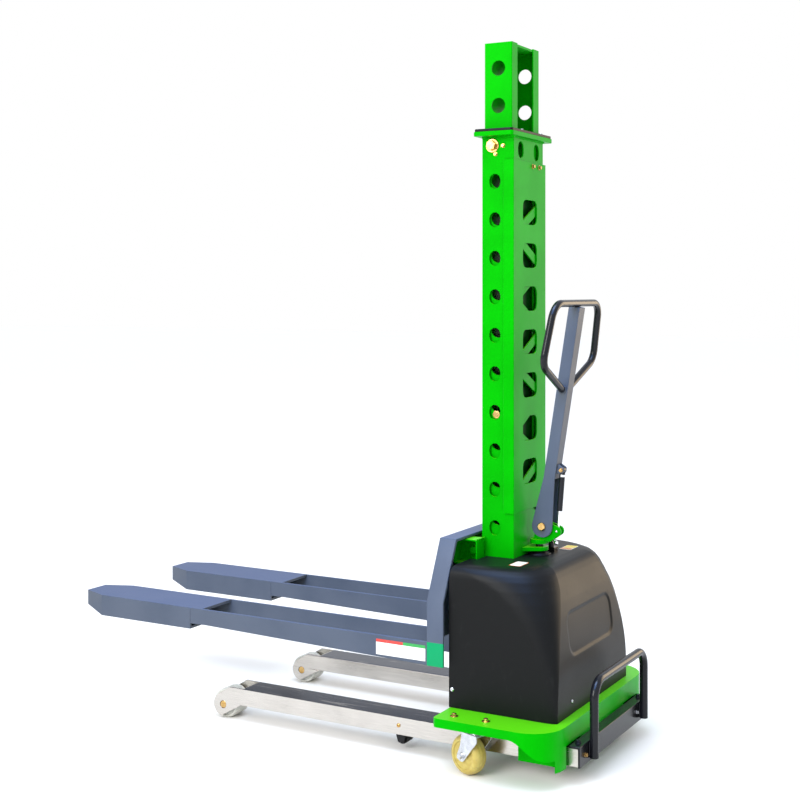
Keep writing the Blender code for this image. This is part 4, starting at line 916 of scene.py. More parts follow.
@dataclass
class Hood(Assembly):
    """Moulded hood with its screws, blank labels, shaft boot and valve lever.

    Each section gives its height over the deck, the back end of its flat side, its back, half the
    width of its back face, and how far its sides are drawn in.
    """

    top_z: float = 0.503
    deck_z: float = 0.1433
    steer_x: float = -0.187
    half: float = 0.250
    front_x: float = -0.0473
    wall: float = 0.004
    front_share: float = 0.35
    corner_pull: float = 0.10
    panel: tuple[float, float, float, float] = (0.150, 0.282, 0.392, 0.034)
    panel_front_x: float = -0.176
    panel_depth: float = 0.0030
    rim: float = 0.0055
    front_steps: int = 6
    corner_steps: int = 16
    back_steps: int = 60
    level_step: float = 0.0035
    sections: tuple[tuple[float, ...], ...] = (
        (0.0000, -0.306, -0.3400, 0.240, 0.0000),
        (0.0567, -0.308, -0.3405, 0.238, 0.0000),
        (0.1067, -0.304, -0.3395, 0.231, 0.0000),
        (0.1567, -0.291, -0.3360, 0.217, 0.0000),
        (0.2017, -0.268, -0.3305, 0.201, 0.0000),
        (0.2417, -0.240, -0.3245, 0.184, 0.0000),
        (0.2767, -0.207, -0.3170, 0.167, 0.0000),
        (0.3067, -0.172, -0.3080, 0.150, 0.0005),
        (0.3287, -0.135, -0.2990, 0.142, 0.0015),
        (0.3427, -0.108, -0.2900, 0.136, 0.0045),
        (0.3527, -0.085, -0.2790, 0.130, 0.0110),
        (0.3577, -0.078, -0.2640, 0.124, 0.0200),
        (0.3597, -0.075, -0.2450, 0.118, 0.0330))

    def build(self) -> None:
        """Makes the hood pieces."""
        self.shell()
        screws = self.start("hood_screws", "chassis", Slot.ZINC)
        for _, side in SIDES:
            screws.socket_bolt(at(-0.0565, side * self.half, 0.1895), LEFT * side, 0.0056)
        for y, z in ((0.1494, 0.175), (-0.1494, 0.175), (0.0, 0.178)):
            screws.socket_bolt(at(-0.3405, y, z), BACK, 0.0046)
        screws.done()
        boot = self.start("shaft_boot", "chassis", Slot.PLASTIC)
        boot.ring([(0.0125, -0.004), (0.0295, -0.004), (0.0305, 0.0012), (0.0290, 0.0034),
                   (0.0250, 0.0042), (0.0215, 0.0030), (0.0190, 0.0062), (0.0160, 0.0078),
                   (0.0125, 0.0078)], aimed(at(self.steer_x, 0.0, self.top_z), UP), 48)
        boot.done()
        self.labels()
        self.levers()

    def sink(self, spot: Vector) -> float:
        """How deep the panel behind is sunk at a point, with a soft rim.

        Args:
            spot: a point of the hood's surface.

        Returns:
            The depth in metres.
        """
        if spot.x > self.panel_front_x:
            return 0.0
        half_y, low, high, corner = self.panel
        across = max(abs(spot.y) - (half_y - corner), 0.0)
        up = max(abs(spot.z - (low + high) / 2.0) - ((high - low) / 2.0 - corner), 0.0)
        rim = (corner - math.hypot(across, up)) / self.rim
        share = min(max(rim, 0.0), 1.0)
        return self.panel_depth * share * share * (3.0 - 2.0 * share)

    def section(self, level: float) -> tuple[float, ...]:
        """Reads the hood's section at a height over the deck, on a smooth curve.

        Args:
            level: the height.

        Returns:
            The section's other four sizes.
        """
        rows = self.sections
        i = max(k for k in range(len(rows) - 1) if rows[k][0] <= level + 1e-9)
        before, low, high = rows[max(i - 1, 0)], rows[i], rows[i + 1]
        after = rows[min(i + 2, len(rows) - 1)]
        t = (level - low[0]) / (high[0] - low[0])
        return tuple(0.5 * (2.0 * b + (c - a) * t + (2.0 * a - 5.0 * b + 4.0 * c - d) * t ** 2
                            + (3.0 * b - a - 3.0 * c + d) * t ** 3)
                     for a, b, c, d in zip(before[1:], low[1:], high[1:], after[1:]))

    def ring(self, level: float, wall: float) -> list[Vector]:
        """Makes one level ring of the hood.

        Args:
            level: its height over the deck.
            wall: how far it is moved in.

        Returns:
            Its points, round from the front on the left.
        """
        side_end, back, back_half, drawn = self.section(level)
        height = self.sections[-1][0]
        z = self.deck_z + level * (height - wall) / height
        half = self.half - drawn - wall
        start = Vector((side_end + wall, half, z))
        end = Vector((back + wall, min(back_half - wall / 2.0, half), z))
        corner = Vector((end.x + (start.x - end.x) * self.corner_pull,
                         half - (half - end.y) * self.corner_pull, z))
        front = Vector((self.front_x - drawn * self.front_share - wall, half, z))
        points = [front.lerp(start, i / self.front_steps) for i in range(self.front_steps)]
        for i in range(self.corner_steps):
            t = i / self.corner_steps
            points.append(start.lerp(corner, t).lerp(corner.lerp(end, t), t))
        middle = Vector((end.x, 0.0, z))
        points += [end.lerp(middle, i / self.back_steps) for i in range(self.back_steps)]
        points = [point + Vector((self.sink(point), 0.0, 0.0)) for point in points]
        other = [Vector((p.x, -p.y, p.z)) for p in reversed(points)]
        return points + [Vector((points[-1].x, 0.0, z))] + other

    def shell(self) -> None:
        """Lofts the hood with its rounded shoulders and sunk panel, then cuts its openings."""
        levels = []
        for low, high in zip(self.sections, self.sections[1:]):
            steps = max(3, round((high[0] - low[0]) / self.level_step))
            levels += [low[0] + (high[0] - low[0]) * i / steps for i in range(steps)]
        levels.append(self.sections[-1][0])
        hood = self.start("hood_shell", "chassis", Slot.PLASTIC)
        skins = [[[hood.bm.verts.new(at(*point)) for point in self.ring(level, wall)]
                  for level in levels] for wall in (0.0, self.wall)]
        for rings in skins:
            hood.skin(rings, False)
            top = rings[-1]
            for i in range(len(top) // 2):
                quad = dict.fromkeys((top[i], top[i + 1], top[-2 - i], top[-1 - i]))
                hood.bm.faces.new(tuple(quad))
        hood.skin([skins[0][0], skins[1][0]], False)
        for tool in self.cutters():
            hood.cut(tool)
        hood.done(40.0, ("hood",))

    def cutters(self) -> list[bmesh.types.BMesh]:
        """Makes the solids that open the hood round the brackets, the column and the shaft."""
        tools = []
        for low, high in ((at(-0.0790, -0.1500, 0.1330), at(-0.0373, 0.1500, 0.5230)),
                          (at(-0.1563, -0.0953, 0.4430), at(-0.0740, 0.0953, 0.5230))):
            tool = bmesh.new()
            bmesh.ops.create_cube(tool, size=1.0)
            bmesh.ops.scale(tool, vec=high - low, verts=tool.verts)
            bmesh.ops.translate(tool, vec=(high + low) / 2.0, verts=tool.verts)
            tools.append(tool)
        tool = bmesh.new()
        radius = 0.027
        bmesh.ops.create_cone(tool, cap_ends=True, segments=64, radius1=radius, radius2=radius,
                              depth=0.1,
                              matrix=Matrix.Translation(at(self.steer_x, 0.0, self.top_z)))
        return tools + [tool]

    def labels(self) -> None:
        """Lays the two blank labels on the hood's top, each on its border."""
        paper, edge, yellow, orange = (Printed(name, color).material() for name, color in (
            ("blank_white_label", (0.86, 0.86, 0.84)), ("label_border", (0.75, 0.16, 0.05)),
            ("blank_yellow_label", (0.85, 0.62, 0.08)), ("label_orange", (0.72, 0.20, 0.03))))
        wide, narrow, under, over = 0.0165, 0.0150, 0.0003, 0.0005
        for name, x, y, half_x, half_y, finish, proud in (
                ("label_left_border", -0.196, 0.150, wide, 0.0275, edge, under),
                ("label_left", -0.196, 0.150, narrow, 0.0260, paper, over),
                ("label_rear_border", -0.222, -0.118, wide, 0.0310, paper, under),
                ("label_rear", -0.222, -0.130, narrow, 0.0180, yellow, over),
                ("label_rear_mark", -0.222, -0.100, narrow, 0.0090, orange, over)):
            self.label(name, "hood", at(x, y, 0.6), (half_x, half_y), finish, proud)

    def levers(self) -> None:
        """Stands the hand valve and its small knobbed lever beside the shaft."""
        z = self.top_z
        block = self.start("valve_block", "chassis", Slot.BLACK)
        block.slab(at(-0.212, -0.066, z - 0.006), at(-0.184, -0.040, z + 0.012), 0.0020)
        block.lathe([(0.0, 0.0), (0.0075, 0.0), (0.0075, 0.010), (0.0060, 0.013), (0.0, 0.013)],
                    aimed(at(-0.198, -0.053, z + 0.012), UP), 24)
        block.done()
        stem = self.start("valve_levers", "chassis", Slot.CHROME)
        stem.tube(bent([(at(-0.198, -0.053, z + 0.020), 0.0),
                        (at(-0.205, -0.044, z + 0.034), 0.006),
                        (at(-0.224, -0.022, z + 0.030), 0.0)]), 0.0026, 14)
        stem.lathe([(0.0, -0.006), (0.0045, -0.005), (0.0060, 0.0), (0.0045, 0.005), (0.0, 0.006)],
                   aimed(at(-0.226, -0.020, z + 0.0295), Vector((-0.6, 0.75, -0.1))), 20)
        stem.done()


@dataclass
class Mast(Assembly):
    """Fixed column, its cover and collar, and the inner mast with the lift cylinder."""

    column_half: float = 0.095
    top_z: float = 1.600
    web_y: float = 0.086

    def build(self) -> None:
        """Makes the mast pieces."""
        for node, soft, fold in (
                ("mast_column", 0.0007, UPRIGHT), ("mast_rear_cover", 0.0006, UPRIGHT),
                ("inner_mast", 0.0007, UPRIGHT), ("mast_collar", 0.0010, None),
                ("collar_wear_pad", 0.0010, None), ("lift_cylinder", 0.0008, None),
                ("lift_rod", 0.0006, None)):
            self.carry(node, soft, fold)
        # Painted shade: a very dark green sheet in the inner mast's rear gap, standing for the
        # shadowed inside seen through the cover's windows.
        dark = Enamel("guard_enamel", (0.0, 0.045, 0.002), (0.0, 0.030, 0.002)).material()
        shade_sheet = self.start("lift_guard_plate", "lift", Slot.GREEN, dark)
        shade_sheet.slab(at(-0.1400, -0.049, 0.360), at(-0.1385, 0.049, 1.520), 0.0003).done()
        self.bolts()
        self.welds()

    def bolts(self) -> None:
        """Adds the bolts at the column's top, on the cover and through the slots."""
        bolts = self.start("mast_bolts", "chassis", Slot.BRASS)
        for _, side in SIDES:
            way = LEFT * side
            bolts.hex_bolt(at(-0.0955, side * self.column_half, 1.5775), way, 0.0235, 1.55)
            for x, z in ((-0.1260, 1.5765), (-0.1042, 1.5552)):
                bolts.hex_bolt(at(x, side * self.column_half, z), way, 0.0085, 1.35, z * 9.0)
        for y in (-0.0175, -0.0598):
            bolts.hex_bolt(at(-0.1600, y, 1.5290), BACK, 0.0092, 1.45, y * 30.0)
        bolts.done()
        pads = self.start("wear_pad_bolts", "chassis", Slot.ZINC)
        for _, side in SIDES:
            for x, y in ((-0.0856, 0.108), (-0.1640, 0.062)):
                pads.socket_bolt(at(x, side * y, 1.6189), UP, 0.0042)
        pads.done()
        for name, slot, z, size, segments in (("guide_bolts_high", Slot.BRASS, 0.8740, 0.011, 6),
                                              ("guide_bolts_low", Slot.ZINC, 0.4770, 0.015, 28)):
            piece = self.start(name, "lift", slot)
            for _, side in SIDES:
                piece.lathe([(0.0, 0.0), (size, 0.0), (size, 0.0012), (size * 0.62, 0.0016),
                             (size * 0.60, 0.0034), (0.0, 0.0036)],
                            aimed(at(-0.1020, side * self.web_y, z), LEFT * side), segments)
            piece.done()

    def welds(self) -> None:
        """Lays the weld beads under the collar and along the cover's flanges."""
        welds = self.start("mast_welds", "chassis", Slot.GREEN)
        z, half = self.top_z - 0.0006, self.column_half + 0.0006
        welds.weld_bead([at(-0.066, half, z), at(-0.1565, half, z), at(-0.1565, -half, z),
                         at(-0.066, -half, z)], 0.0034)
        for _, side in SIDES:
            for low in (0.640, 0.900, 1.160, 1.420):
                welds.weld_bead([at(-0.1292, side * 0.0985, z) for z in (low, low + 0.045)], 0.0026)
        welds.done(60.0)


@dataclass
class Forks(Assembly):
    """Fork heel, forks and the carriage that hangs them on the inner mast."""

    fork_y: float = 0.1975
    half: float = 0.0725
    top_z: float = 0.306
    low_z: float = 0.246

    def build(self) -> None:
        """Makes the fork pieces."""
        # The heel's level top faces carry the grey's painted sky reflection.
        heel = HeelEnamel("heel_enamel", GREY_PAINT, GREY_SHADE, gloss=0.16,
                          painted_top_light=GREY_PAINTED_SKY_REFLECTION).material()
        self.carry("fork_frame", 0.0022, finish=heel)
        for label, side in SIDES:
            self.carry(f"fork_{label}", 0.0009, PLATE_EDGE)
            bracket = self.start(f"carriage_bracket_{label}_tray", "lift", Slot.GREEN)
            turn = Matrix(((-side, 0.0, 0.0), (0.0, 0.0, side), (0.0, 1.0, 0.0))).to_4x4()
            bracket.tray(0.0350, 0.0335, 0.0420, 0.0045,
                         Matrix.Translation(at(-0.0388, side * 0.1007, 0.51795)) @ turn)
            bracket.lathe([(0.0, 0.0), (0.0100, 0.0), (0.0100, 0.0110), (0.0080, 0.0125),
                           (0.0, 0.0125)],
                          aimed(at(-0.0480, side * 0.1052, 0.5180), LEFT * side), 32)
            bracket.done(40.0, (f"carriage_bracket_{label}",))
        self.carry("carriage_mount", 0.0015)
        welds = self.start("fork_welds", "lift", Slot.GREY)
        for _, side in SIDES:
            for edge in (-1.0, 1.0):
                y = side * self.fork_y + edge * self.half
                welds.weld_bead([at(0.763, y, z) for z in (self.low_z + 0.018, self.top_z - 0.001)],
                                0.0013)
                inner = side * self.fork_y + edge * (self.half - 0.0035)
                welds.weld_bead([at(0.0062, inner, 0.251), at(0.0062, inner, self.top_z)], 0.0030)
            reach = self.half - 0.007
            welds.weld_bead([at(0.722, side * (self.fork_y + edge * reach), self.top_z)
                             for edge in (-1.0, 1.0)], 0.0014)
        welds.done(60.0)
        seams = self.start("carriage_welds", "lift", Slot.GREEN)
        for _, side in SIDES:
            for z in (0.4845, 0.5515):
                seams.weld_bead([at(-0.0745, side * y, z) for y in (0.101, 0.141)], 0.0022)
        seams.done(60.0)
        film = LabelStrip("blank_fork_label", (0.80, 0.80, 0.78)).material()
        plate = self.start("fork_label", "lift", Slot.NYLON, film)
        plate.slab(at(0.010, 0.2698, 0.2560), at(0.155, 0.2704, 0.2960), 0.0002)
        plate.done()


@dataclass
class Legs(Assembly):
    """Support legs with their wheels, rollers, rear angle and pull bar."""

    leg_y: float = 0.1975
    wheel_x: float = 0.670
    wheel_z: float = 0.040
    roller_x: float = 0.108
    roller_z: float = 0.029
    bar_x: float = -0.4113
    bar_half: float = 0.180

    def build(self) -> None:
        """Makes the leg pieces."""
        for label, side in SIDES:
            self.carry(f"leg_{label}", 0.0006, DRAWN_TUBE)
            self.carry(f"roller_bracket_{label}", 0.0006)
            self.load_wheel(label, side)
            self.roller(label, side)
        self.carry("rear_cross_bar", 0.0012)
        self.pull_bar()
        self.bolts()

    def load_wheel(self, label: str, side: float) -> None:
        """Turns one load wheel, its hub rings and its stepped axle."""
        hub = aimed(at(self.wheel_x, side * self.leg_y, self.wheel_z), LEFT)
        wheel = self.start(f"load_wheel_{label}_tyre", f"load_wheel_{label}", Slot.NYLON)
        half = ((0.0110, 0.0), (0.0110, 0.0302), (0.0175, 0.0302), (0.0185, 0.0285),
                (0.0320, 0.0285), (0.0332, 0.0308), (0.0352, 0.0310), (0.0380, 0.0298),
                (0.0394, 0.0275), (0.0400, 0.0240), (0.0400, 0.0012), (0.0398, 0.0))
        wheel.ring(mirrored(half), hub, 72).done(40.0, (f"load_wheel_{label}",))
        seals = self.start(f"load_bearings_{label}", f"load_wheel_{label}", Slot.BLACK)
        for edge in (-1.0, 1.0):
            seals.ring([(0.0112, 0.0290), (0.0168, 0.0290), (0.0168, 0.0306), (0.0150, 0.0309),
                        (0.0112, 0.0309)], hub @ Matrix.Diagonal((1.0, 1.0, edge, 1.0)), 40)
        seals.done()
        axle = self.start(f"load_axle_{label}_pin", "legs", Slot.BRASS)
        reach = 0.0434
        end = ((0.0104, 0.0022), (0.0088, 0.0010), (0.0036, 0.0010), (0.0030, 0.0), (0.0, 0.0))
        axle.lathe([*((r, h - reach) for r, h in reversed(end)), *((r, reach - h) for r, h in end)],
                   hub, 40)
        axle.done(30.0, (f"load_axle_{label}",))
        nub = self.start(f"wheel_scraper_{label}", "legs", Slot.GREY)
        nub.slab(at(0.6065, side * self.leg_y - 0.031, 0.060),
                 at(0.6150, side * self.leg_y + 0.031, 0.085), 0.0020)
        nub.done()

    def roller(self, label: str, side: float) -> None:
        """Turns one guide roller."""
        roller = self.start(f"leg_roller_{label}_tread", f"leg_roller_{label}", Slot.PLASTIC)
        half = [(0.0045, 0.0195), (0.0090, 0.0195), (0.0095, 0.0185), (0.0120, 0.0185),
                (0.0126, 0.0198), (0.0140, 0.0192), (0.0149, 0.0170)]
        roller.ring(half + [(r, -h) for r, h in reversed(half)],
                    aimed(at(self.roller_x, side * self.leg_y, self.roller_z), LEFT), 40)
        roller.done(40.0, (f"leg_roller_{label}",))

    def pull_bar(self) -> None:
        """Bends the pull bar and welds it to the angle."""
        x, half = self.bar_x, self.bar_half
        path = bent([(at(x, half, 0.0551), 0.0), (at(x, half, 0.239), 0.045),
                     (at(x, -half, 0.239), 0.045), (at(x, -half, 0.0551), 0.0)])
        bar = self.start("pull_bar_tube", "legs", Slot.BLACK)
        bar.tube(path, 0.011, 28).done(40.0, ("pull_bar",))
        welds = self.start("pull_bar_welds", "legs", Slot.BLACK)
        for _, side in SIDES:
            for edge in (-1.0, 1.0):
                y = side * half + edge * 0.0085
                welds.weld_bead([at(x + 0.0092, y, z) for z in (0.060, 0.094)], 0.0022)
        welds.done(60.0)

    def bolts(self) -> None:
        """Adds the bolts of the legs and of the angle behind."""
        brass, zinc, black = (self.start(name, "legs", slot) for name, slot in (
            ("leg_bolts", Slot.BRASS), ("angle_bolts", Slot.ZINC), ("angle_top_bolts", Slot.BLACK)))
        for _, side in SIDES:
            outer = side * (self.leg_y + 0.0425)
            brass.socket_bolt(at(0.105, outer, 0.070), LEFT * side, 0.0055)
            brass.hex_bolt(at(-0.4003, side * 0.2110, 0.0700), BACK, 0.0090, 1.3)
            zinc.hex_bolt(at(-0.4003, side * 0.1560, 0.0750), BACK, 0.0080, 1.3)
            black.hex_bolt(at(-0.3830, side * 0.2150, 0.0973), UP, 0.0110, 1.5)
        for piece in (brass, zinc, black):
            piece.done()


@dataclass
class Casters(Assembly):
    """Side casters: plates, swivel forks, wheels and their bolts."""

    caster_x: float = -0.150
    caster_y: float = 0.300
    trail: float = 0.028
    turn: float = math.radians(20.0)
    radius: float = 0.050

    def build(self) -> None:
        """Makes the pieces of both casters."""
        for label, side in SIDES:
            self.carry(f"caster_plate_{label}", 0.0010)
            self.carry(f"caster_fork_{label}", 0.0008)
            self.wheel(label, side)

    def wheel(self, label: str, side: float) -> None:
        """Turns one wheel with a grooved tread, its hub and its axle nuts."""
        heading = Matrix.Rotation(-side * self.turn, 4, "Z")
        pivot = at(self.caster_x, side * self.caster_y, 0.0)
        centre = pivot + heading @ Vector((self.trail, 0.0, self.radius))
        across = heading @ LEFT
        hub = aimed(centre, across)
        half = ((0.0060, 0.0), (0.0060, 0.0205), (0.0140, 0.0205), (0.0155, 0.0190),
                (0.0290, 0.0170), (0.0330, 0.0180), (0.0345, 0.0205), (0.0385, 0.0207),
                (0.0430, 0.0190), (0.0466, 0.0150), (0.0486, 0.0105), (0.0494, 0.0066),
                (0.0488, 0.0054), (0.0488, 0.0044), (0.0498, 0.0032), (0.0500, 0.0))
        tyre = self.start(f"caster_tyre_{label}", f"caster_wheel_{label}", Slot.CREAM)
        tyre.ring(mirrored(half), hub, 80).done(40.0, (f"caster_wheel_{label}",))
        nuts = self.start(f"caster_nuts_{label}", f"caster_{label}", Slot.ZINC)
        for edge in (-1.0, 1.0):
            nuts.hex_bolt(centre + across * edge * 0.0265, across * edge, 0.0130, 1.45)
        nuts.ring([(0.0195, 0.0), (0.0250, 0.0), (0.0262, 0.0030), (0.0250, 0.0062),
                   (0.0195, 0.0062)], aimed(pivot + UP * 0.1185, UP), 40)
        nuts.done()
        bolts = self.start(f"caster_plate_bolts_{label}", "chassis", Slot.ZINC)
        for dx in (-0.042, 0.042):
            for dy in (-0.030, 0.030):
                bolts.hex_bolt(pivot + Vector((dx, dy, 0.1327)), -UP, 0.0085, 1.3)
        bolts.done()


@dataclass
class Tiller(Assembly):
    """Steering head, twin wheel, tiller arm, hand loop and gas spring."""

    steer_x: float = -0.187
    pivot_x: float = -0.202
    pivot_z: float = 0.579
    lean: float = math.radians(9.0)
    arm_half: float = 0.019
    arm_top: float = 0.594

    @property
    def spring_foot(self) -> Vector:
        """The gas spring's lower eye."""
        return at(self.steer_x - 0.053, 0.0, 0.568)

    def up_arm(self, x: float, y: float, up: float) -> Vector:
        """A point given in the leaning arm's own frame."""
        turn = Matrix.Rotation(-self.lean, 4, "Y")
        return at(self.pivot_x, 0.0, self.pivot_z) + turn @ Vector((x, y, up))

    def build(self) -> None:
        """Makes the steering and tiller pieces."""
        for node in ("steering_bearing", "steering_shaft", "tiller_yoke", "steer_wheel_fork",
                     "gas_spring_barrel", "gas_spring_rod"):
            self.carry(node, 0.0007)
        self.carry("tiller_arm", 0.0010)
        self.loop()
        self.head()
        self.wheels()
        self.spring()

    def loop(self) -> None:
        """Bends the hand loop and welds it to the arm."""
        foot = self.arm_half + 0.0043
        path = bent([(self.up_arm(0.0, y, up), radius) for y, up, radius in (
            (foot, 0.368, 0.0), (0.172, 0.437, 0.040), (0.152, self.arm_top, 0.045),
            (-0.152, self.arm_top, 0.045), (-0.172, 0.437, 0.040), (-foot, 0.368, 0.0))])
        loop = self.start("hand_loop", "tiller", Slot.BLACK)
        loop.tube(path, 0.0095, 28).done(40.0, ("tiller_loop",))
        welds = self.start("loop_welds", "tiller", Slot.GREY)
        for _, side in SIDES:
            reach, y = 0.0098, side * (self.arm_half + 0.0010)
            rim = [self.up_arm(reach * math.sin(angle), y, 0.367 + reach * math.cos(angle))
                   for angle in (TURN * k / 16 for k in range(17))]
            welds.weld_bead(rim, 0.0024)
        welds.done(60.0)

    def head(self) -> None:
        """Adds the tilt pivot with its brass heads and the gas spring's pins."""
        bolt = self.start("pivot_head", "steering", Slot.BRASS)
        reach = self.arm_half + 0.0065
        centre = at(self.pivot_x, 0.0, self.pivot_z)
        end = ((0.0059, 0.0061), (0.0105, 0.0060), (0.0105, 0.0014), (0.0086, 0.0), (0.0, 0.0))
        bolt.lathe([*((r, h - reach) for r, h in reversed(end)), *((r, reach - h) for r, h in end)],
                   aimed(centre, LEFT), 40)
        bolt.done(30.0, ("tiller_pivot_bolt",))
        pins = self.start("spring_pins", "tiller", Slot.BRASS)
        for _, side in SIDES:
            pins.hex_bolt(self.up_arm(-0.0270, side * 0.0111, 0.1560), LEFT * side, 0.0085, 1.2)
        pins.done()
        lower = self.start("spring_lower_pin", "steering", Slot.ZINC)
        for _, side in SIDES:
            lower.socket_bolt(self.spring_foot + LEFT * (side * 0.0119), LEFT * side, 0.0034)
        lower.done()

    def wheels(self) -> None:
        """Turns the twin steered wheel."""
        hub = aimed(at(self.steer_x, 0.0, 0.0575), LEFT)
        half = ((0.0080, 0.0), (0.0080, 0.0192), (0.0300, 0.0192), (0.0320, 0.0205),
                (0.0460, 0.0205), (0.0515, 0.0192), (0.0556, 0.0210), (0.0573, 0.0245),
                (0.0575, 0.0300), (0.0575, 0.0420), (0.0573, 0.0475), (0.0556, 0.0510),
                (0.0515, 0.0528), (0.0460, 0.0515), (0.0320, 0.0500), (0.0180, 0.0500),
                (0.0160, 0.0530), (0.0120, 0.0568), (0.0, 0.0568))
        whole = [*((r, -h) for r, h in reversed(half[1:])), *half]
        tyre = self.start("steer_tyres", "steer_wheels", Slot.NYLON)
        tyre.lathe(whole, hub, 80).done(40.0, ("steer_wheels",))

    def spring(self) -> None:
        """Adds the gas spring's gland and end fittings."""
        gland = self.start("spring_gland", "gas_spring_barrel", Slot.CHROME)
        upper = self.up_arm(-0.0270, 0.0, 0.1560)
        down = (self.spring_foot - upper).normalized()
        gland.ring([(0.0042, 0.0), (0.0070, 0.0), (0.0070, 0.0008), (0.0070, 0.0030),
                    (0.0060, 0.0040), (0.0042, 0.0040)], aimed(upper + down * 0.1040, down), 32)
        gland.ring([(0.0075, 0.0), (0.0079, 0.0), (0.0079, 0.0060), (0.0075, 0.0060)],
                   aimed(upper + down * 0.012, down), 32)
        gland.done()


# ------------------------------------------------------------------------- studio

@dataclass
class Studio:
    """A pale floor, soft lights and the camera."""

    camera_place: Point = (-1.635, 3.309, 1.200)
    camera_look: Point = (0.4923, -0.8704, 0.0)
    lens: float = 61.16
    shift_y: float = -0.1375
    floor_size: float = 60.0
    floor_color: Color = (0.90, 0.89, 0.87)
    dark_finishes: tuple[str, ...] = ("black", "grey", "heel")
    lights: tuple[tuple[str, Point, Point, float, float, Color], ...] = (
        ("key_light", (0.6, 4.6, 2.6), (-0.2, 0.0, 0.8), 2.4, 190.0, (1.0, 0.99, 0.96)),
        ("top_light", (-0.5, 0.9, 4.4), (-0.3, 0.0, 0.4), 2.2, 80.0, (0.80, 0.92, 1.10)),
        ("rear_fill", (-3.0, -3.6, 1.5), (-0.5, 0.0, 0.6), 2.4, 20.0, (1.0, 0.86, 0.70)))
    dark_lights: tuple[tuple[str, Point, Point, float, float, Color], ...] = (
        ("warm_panel", (-3.0, -3.6, 1.3), (-0.7, 0.0, 0.35), 2.6, 85.0, (1.0, 0.74, 0.44)),
        ("blue_panel", (-0.6, 1.6, 3.6), (-0.5, 0.1, 0.4), 2.6, 230.0, (0.20, 0.42, 1.0)))

    def build(self) -> None:
        """Makes everything that isn't the machine."""
        self.floor()
        self.sky()
        for settings in self.lights:
            self.light(*settings)
        dark = bpy.data.collections.new("dark_pieces")
        for obj in bpy.data.objects:
            finish = obj.data.materials[0] if obj.type == "MESH" and obj.data.materials else None
            if finish is not None and finish.name.startswith(self.dark_finishes):
                dark.objects.link(obj)
        for settings in self.dark_lights:
            self.light(*settings).light_linking.receiver_collection = dark
        self.camera()

    def floor(self) -> None:
        """Lays the floor."""
        half = self.floor_size / 2.0
        mesh = bpy.data.meshes.new("studio_floor")
        corners = ((-half, -half), (half, -half), (half, half), (-half, half))
        mesh.from_pydata([(x, y, 0.0) for x, y in corners], [], [(0, 1, 2, 3)])
        obj = bpy.data.objects.new("studio_floor", mesh)
        bpy.context.scene.collection.objects.link(obj)
        g = Graph(bpy.data.materials.new("floor_paint"))
        obj.data.materials.append(g.surface(Base_Color=self.floor_color, Roughness=0.9))

    def sky(self) -> None:
        """Gives the world a pale sky: white around, cooler above."""
        world = bpy.data.worlds.new("studio_sky")
        bpy.context.scene.world = world
        g = Graph(world)
        place = g.node("ShaderNodeTexCoord", output="Generated")
        height = g.node("ShaderNodeSeparateXYZ", None, {0: place}, "Z")
        stops = ((0.0, (1.0, 1.0, 1.0)), (0.30, (1.0, 1.0, 1.0)), (0.50, (1.02, 1.08, 1.22)),
                 (1.0, (1.22, 1.28, 1.40)))
        color = g.node("ShaderNodeValToRGB", {"stops": stops}, {"Fac": height})
        g.feed(world.node_tree.nodes["Background"].inputs["Color"], color)

    def light(self, name: str, place: Point, aim: Point, size: float, power: float,
              tint: Color) -> bpy.types.Object:
        """Hangs one soft light.

        Args:
            name: its name.
            place: where it hangs.
            aim: the point that it faces.
            size: its width and height.
            power: its power in watts.
            tint: its colour.

        Returns:
            The light.
        """
        data = bpy.data.lights.new(name, "AREA")
        data.size, data.energy, data.color = size, power, tint
        lamp = bpy.data.objects.new(name, data)
        bpy.context.scene.collection.objects.link(lamp)
        lamp.location = place
        lamp.rotation_euler = (Vector(aim) - Vector(place)).to_track_quat("-Z", "Y").to_euler()
        return lamp

    def camera(self) -> None:
        """Sets the camera up."""
        data = bpy.data.cameras.new("studio_camera")
        data.lens, data.shift_y = self.lens, self.shift_y
        camera = bpy.data.objects.new("studio_camera", data)
        bpy.context.scene.collection.objects.link(camera)
        camera.location = Vector(self.camera_place) + Vector((HEEL_X, 0.0, 0.0))
        camera.rotation_euler = Vector(self.camera_look).to_track_quat("-Z", "Y").to_euler()
        bpy.context.scene.camera = camera
        bpy.context.scene.view_settings.view_transform = "Standard"


# --------------------------------------------------------------------------- main

GREEN_PAINT, GREEN_SHADE = (0.001, 0.35, 0.001), (0.001, 0.30, 0.001)
GREY_PAINT, GREY_SHADE = (0.070, 0.082, 0.102), (0.058, 0.070, 0.090)
# Painted reflection of a dark blue sky, laid on the grey's level top faces.
GREY_PAINTED_SKY_REFLECTION = (0.040, 0.060, 0.105)


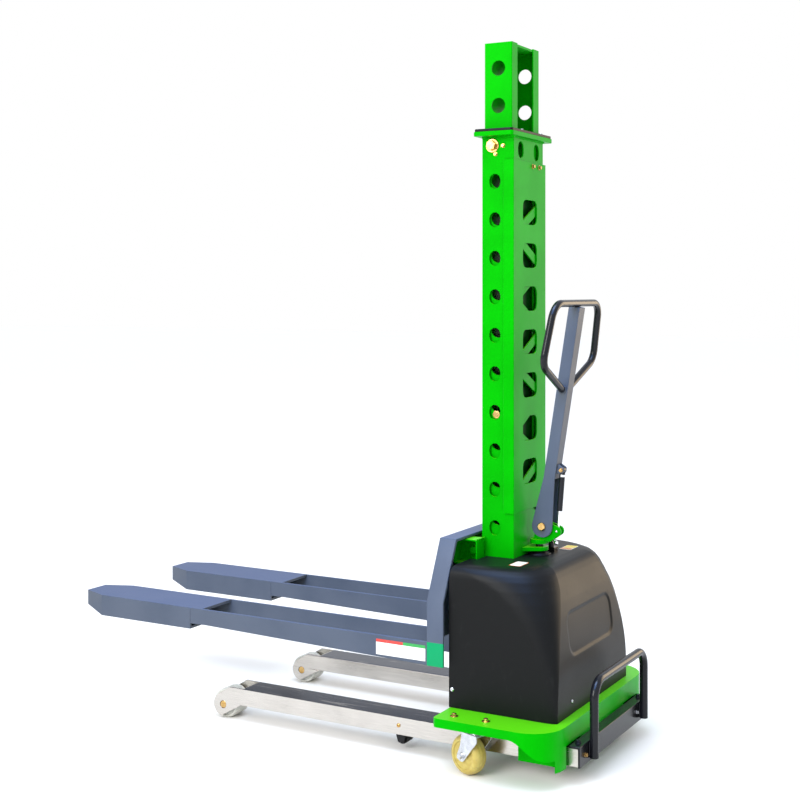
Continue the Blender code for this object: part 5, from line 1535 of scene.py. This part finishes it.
def make_palette() -> dict[Slot, bpy.types.Material]:
    """Makes the machine's finishes."""
    finishes = {
        # The green's level top faces carry a painted sunlit highlight; the grey's carry a painted
        # sky reflection.
        Slot.GREEN: Enamel("green_enamel", GREEN_PAINT, GREEN_SHADE, wear_color=(0.05, 0.30, 0.04),
                           gloss=0.16, glint=(0.05, 1.0, 0.05), painted_top_light=(0.09, 0.56, 0.005)),
        Slot.GREY: Enamel("grey_enamel", GREY_PAINT, GREY_SHADE, roughness=0.42, gloss=0.16,
                          painted_top_light=GREY_PAINTED_SKY_REFLECTION),
        Slot.PLASTIC: Moulded("black_moulding", (0.0045, 0.0045, 0.0040), (0.018, 0.017, 0.015),
                              gloss=0.12),
        Slot.BLACK: Enamel("black_enamel", (0.006, 0.006, 0.007), (0.009, 0.009, 0.010),
                           roughness=0.18, wear=0.25, gloss=0.22),
        Slot.STEEL: Brushed("brushed_steel", (0.62, 0.58, 0.53), (0.40, 0.37, 0.34)),
        Slot.CHROME: Plated("chrome_plate", (0.80, 0.80, 0.80), (0.72, 0.72, 0.72), 0.10),
        Slot.BRASS: Plated("yellow_zinc_plate", (0.58, 0.38, 0.15), (0.50, 0.29, 0.09)),
        Slot.ZINC: Plated("zinc_plate", (0.66, 0.67, 0.69), (0.52, 0.53, 0.56)),
        Slot.NYLON: CastNylon("white_nylon_cast", (0.55, 0.55, 0.50), (0.42, 0.42, 0.37),
                              (0.22, 0.21, 0.18)),
        Slot.CREAM: CastNylon("cream_nylon_cast", (0.50, 0.40, 0.09), (0.40, 0.29, 0.05),
                              (0.25, 0.19, 0.08)),
        Slot.BATTERY: Moulded("battery_moulding", (0.03, 0.03, 0.03), (0.08, 0.08, 0.08))}
    return {slot: finish.material() for slot, finish in finishes.items()}


def main() -> None:
    """Dresses the machine and sets up the studio."""
    logging.basicConfig(level=logging.INFO, format="%(message)s")
    palette = make_palette()
    for assembly in (Chassis(palette), Hood(palette), Mast(palette), Forks(palette), Legs(palette),
                     Casters(palette), Tiller(palette)):
        LOG.info("building %s", type(assembly).__name__)
        assembly.build()
    Studio().build()


if __name__ == "__main__":
    main()
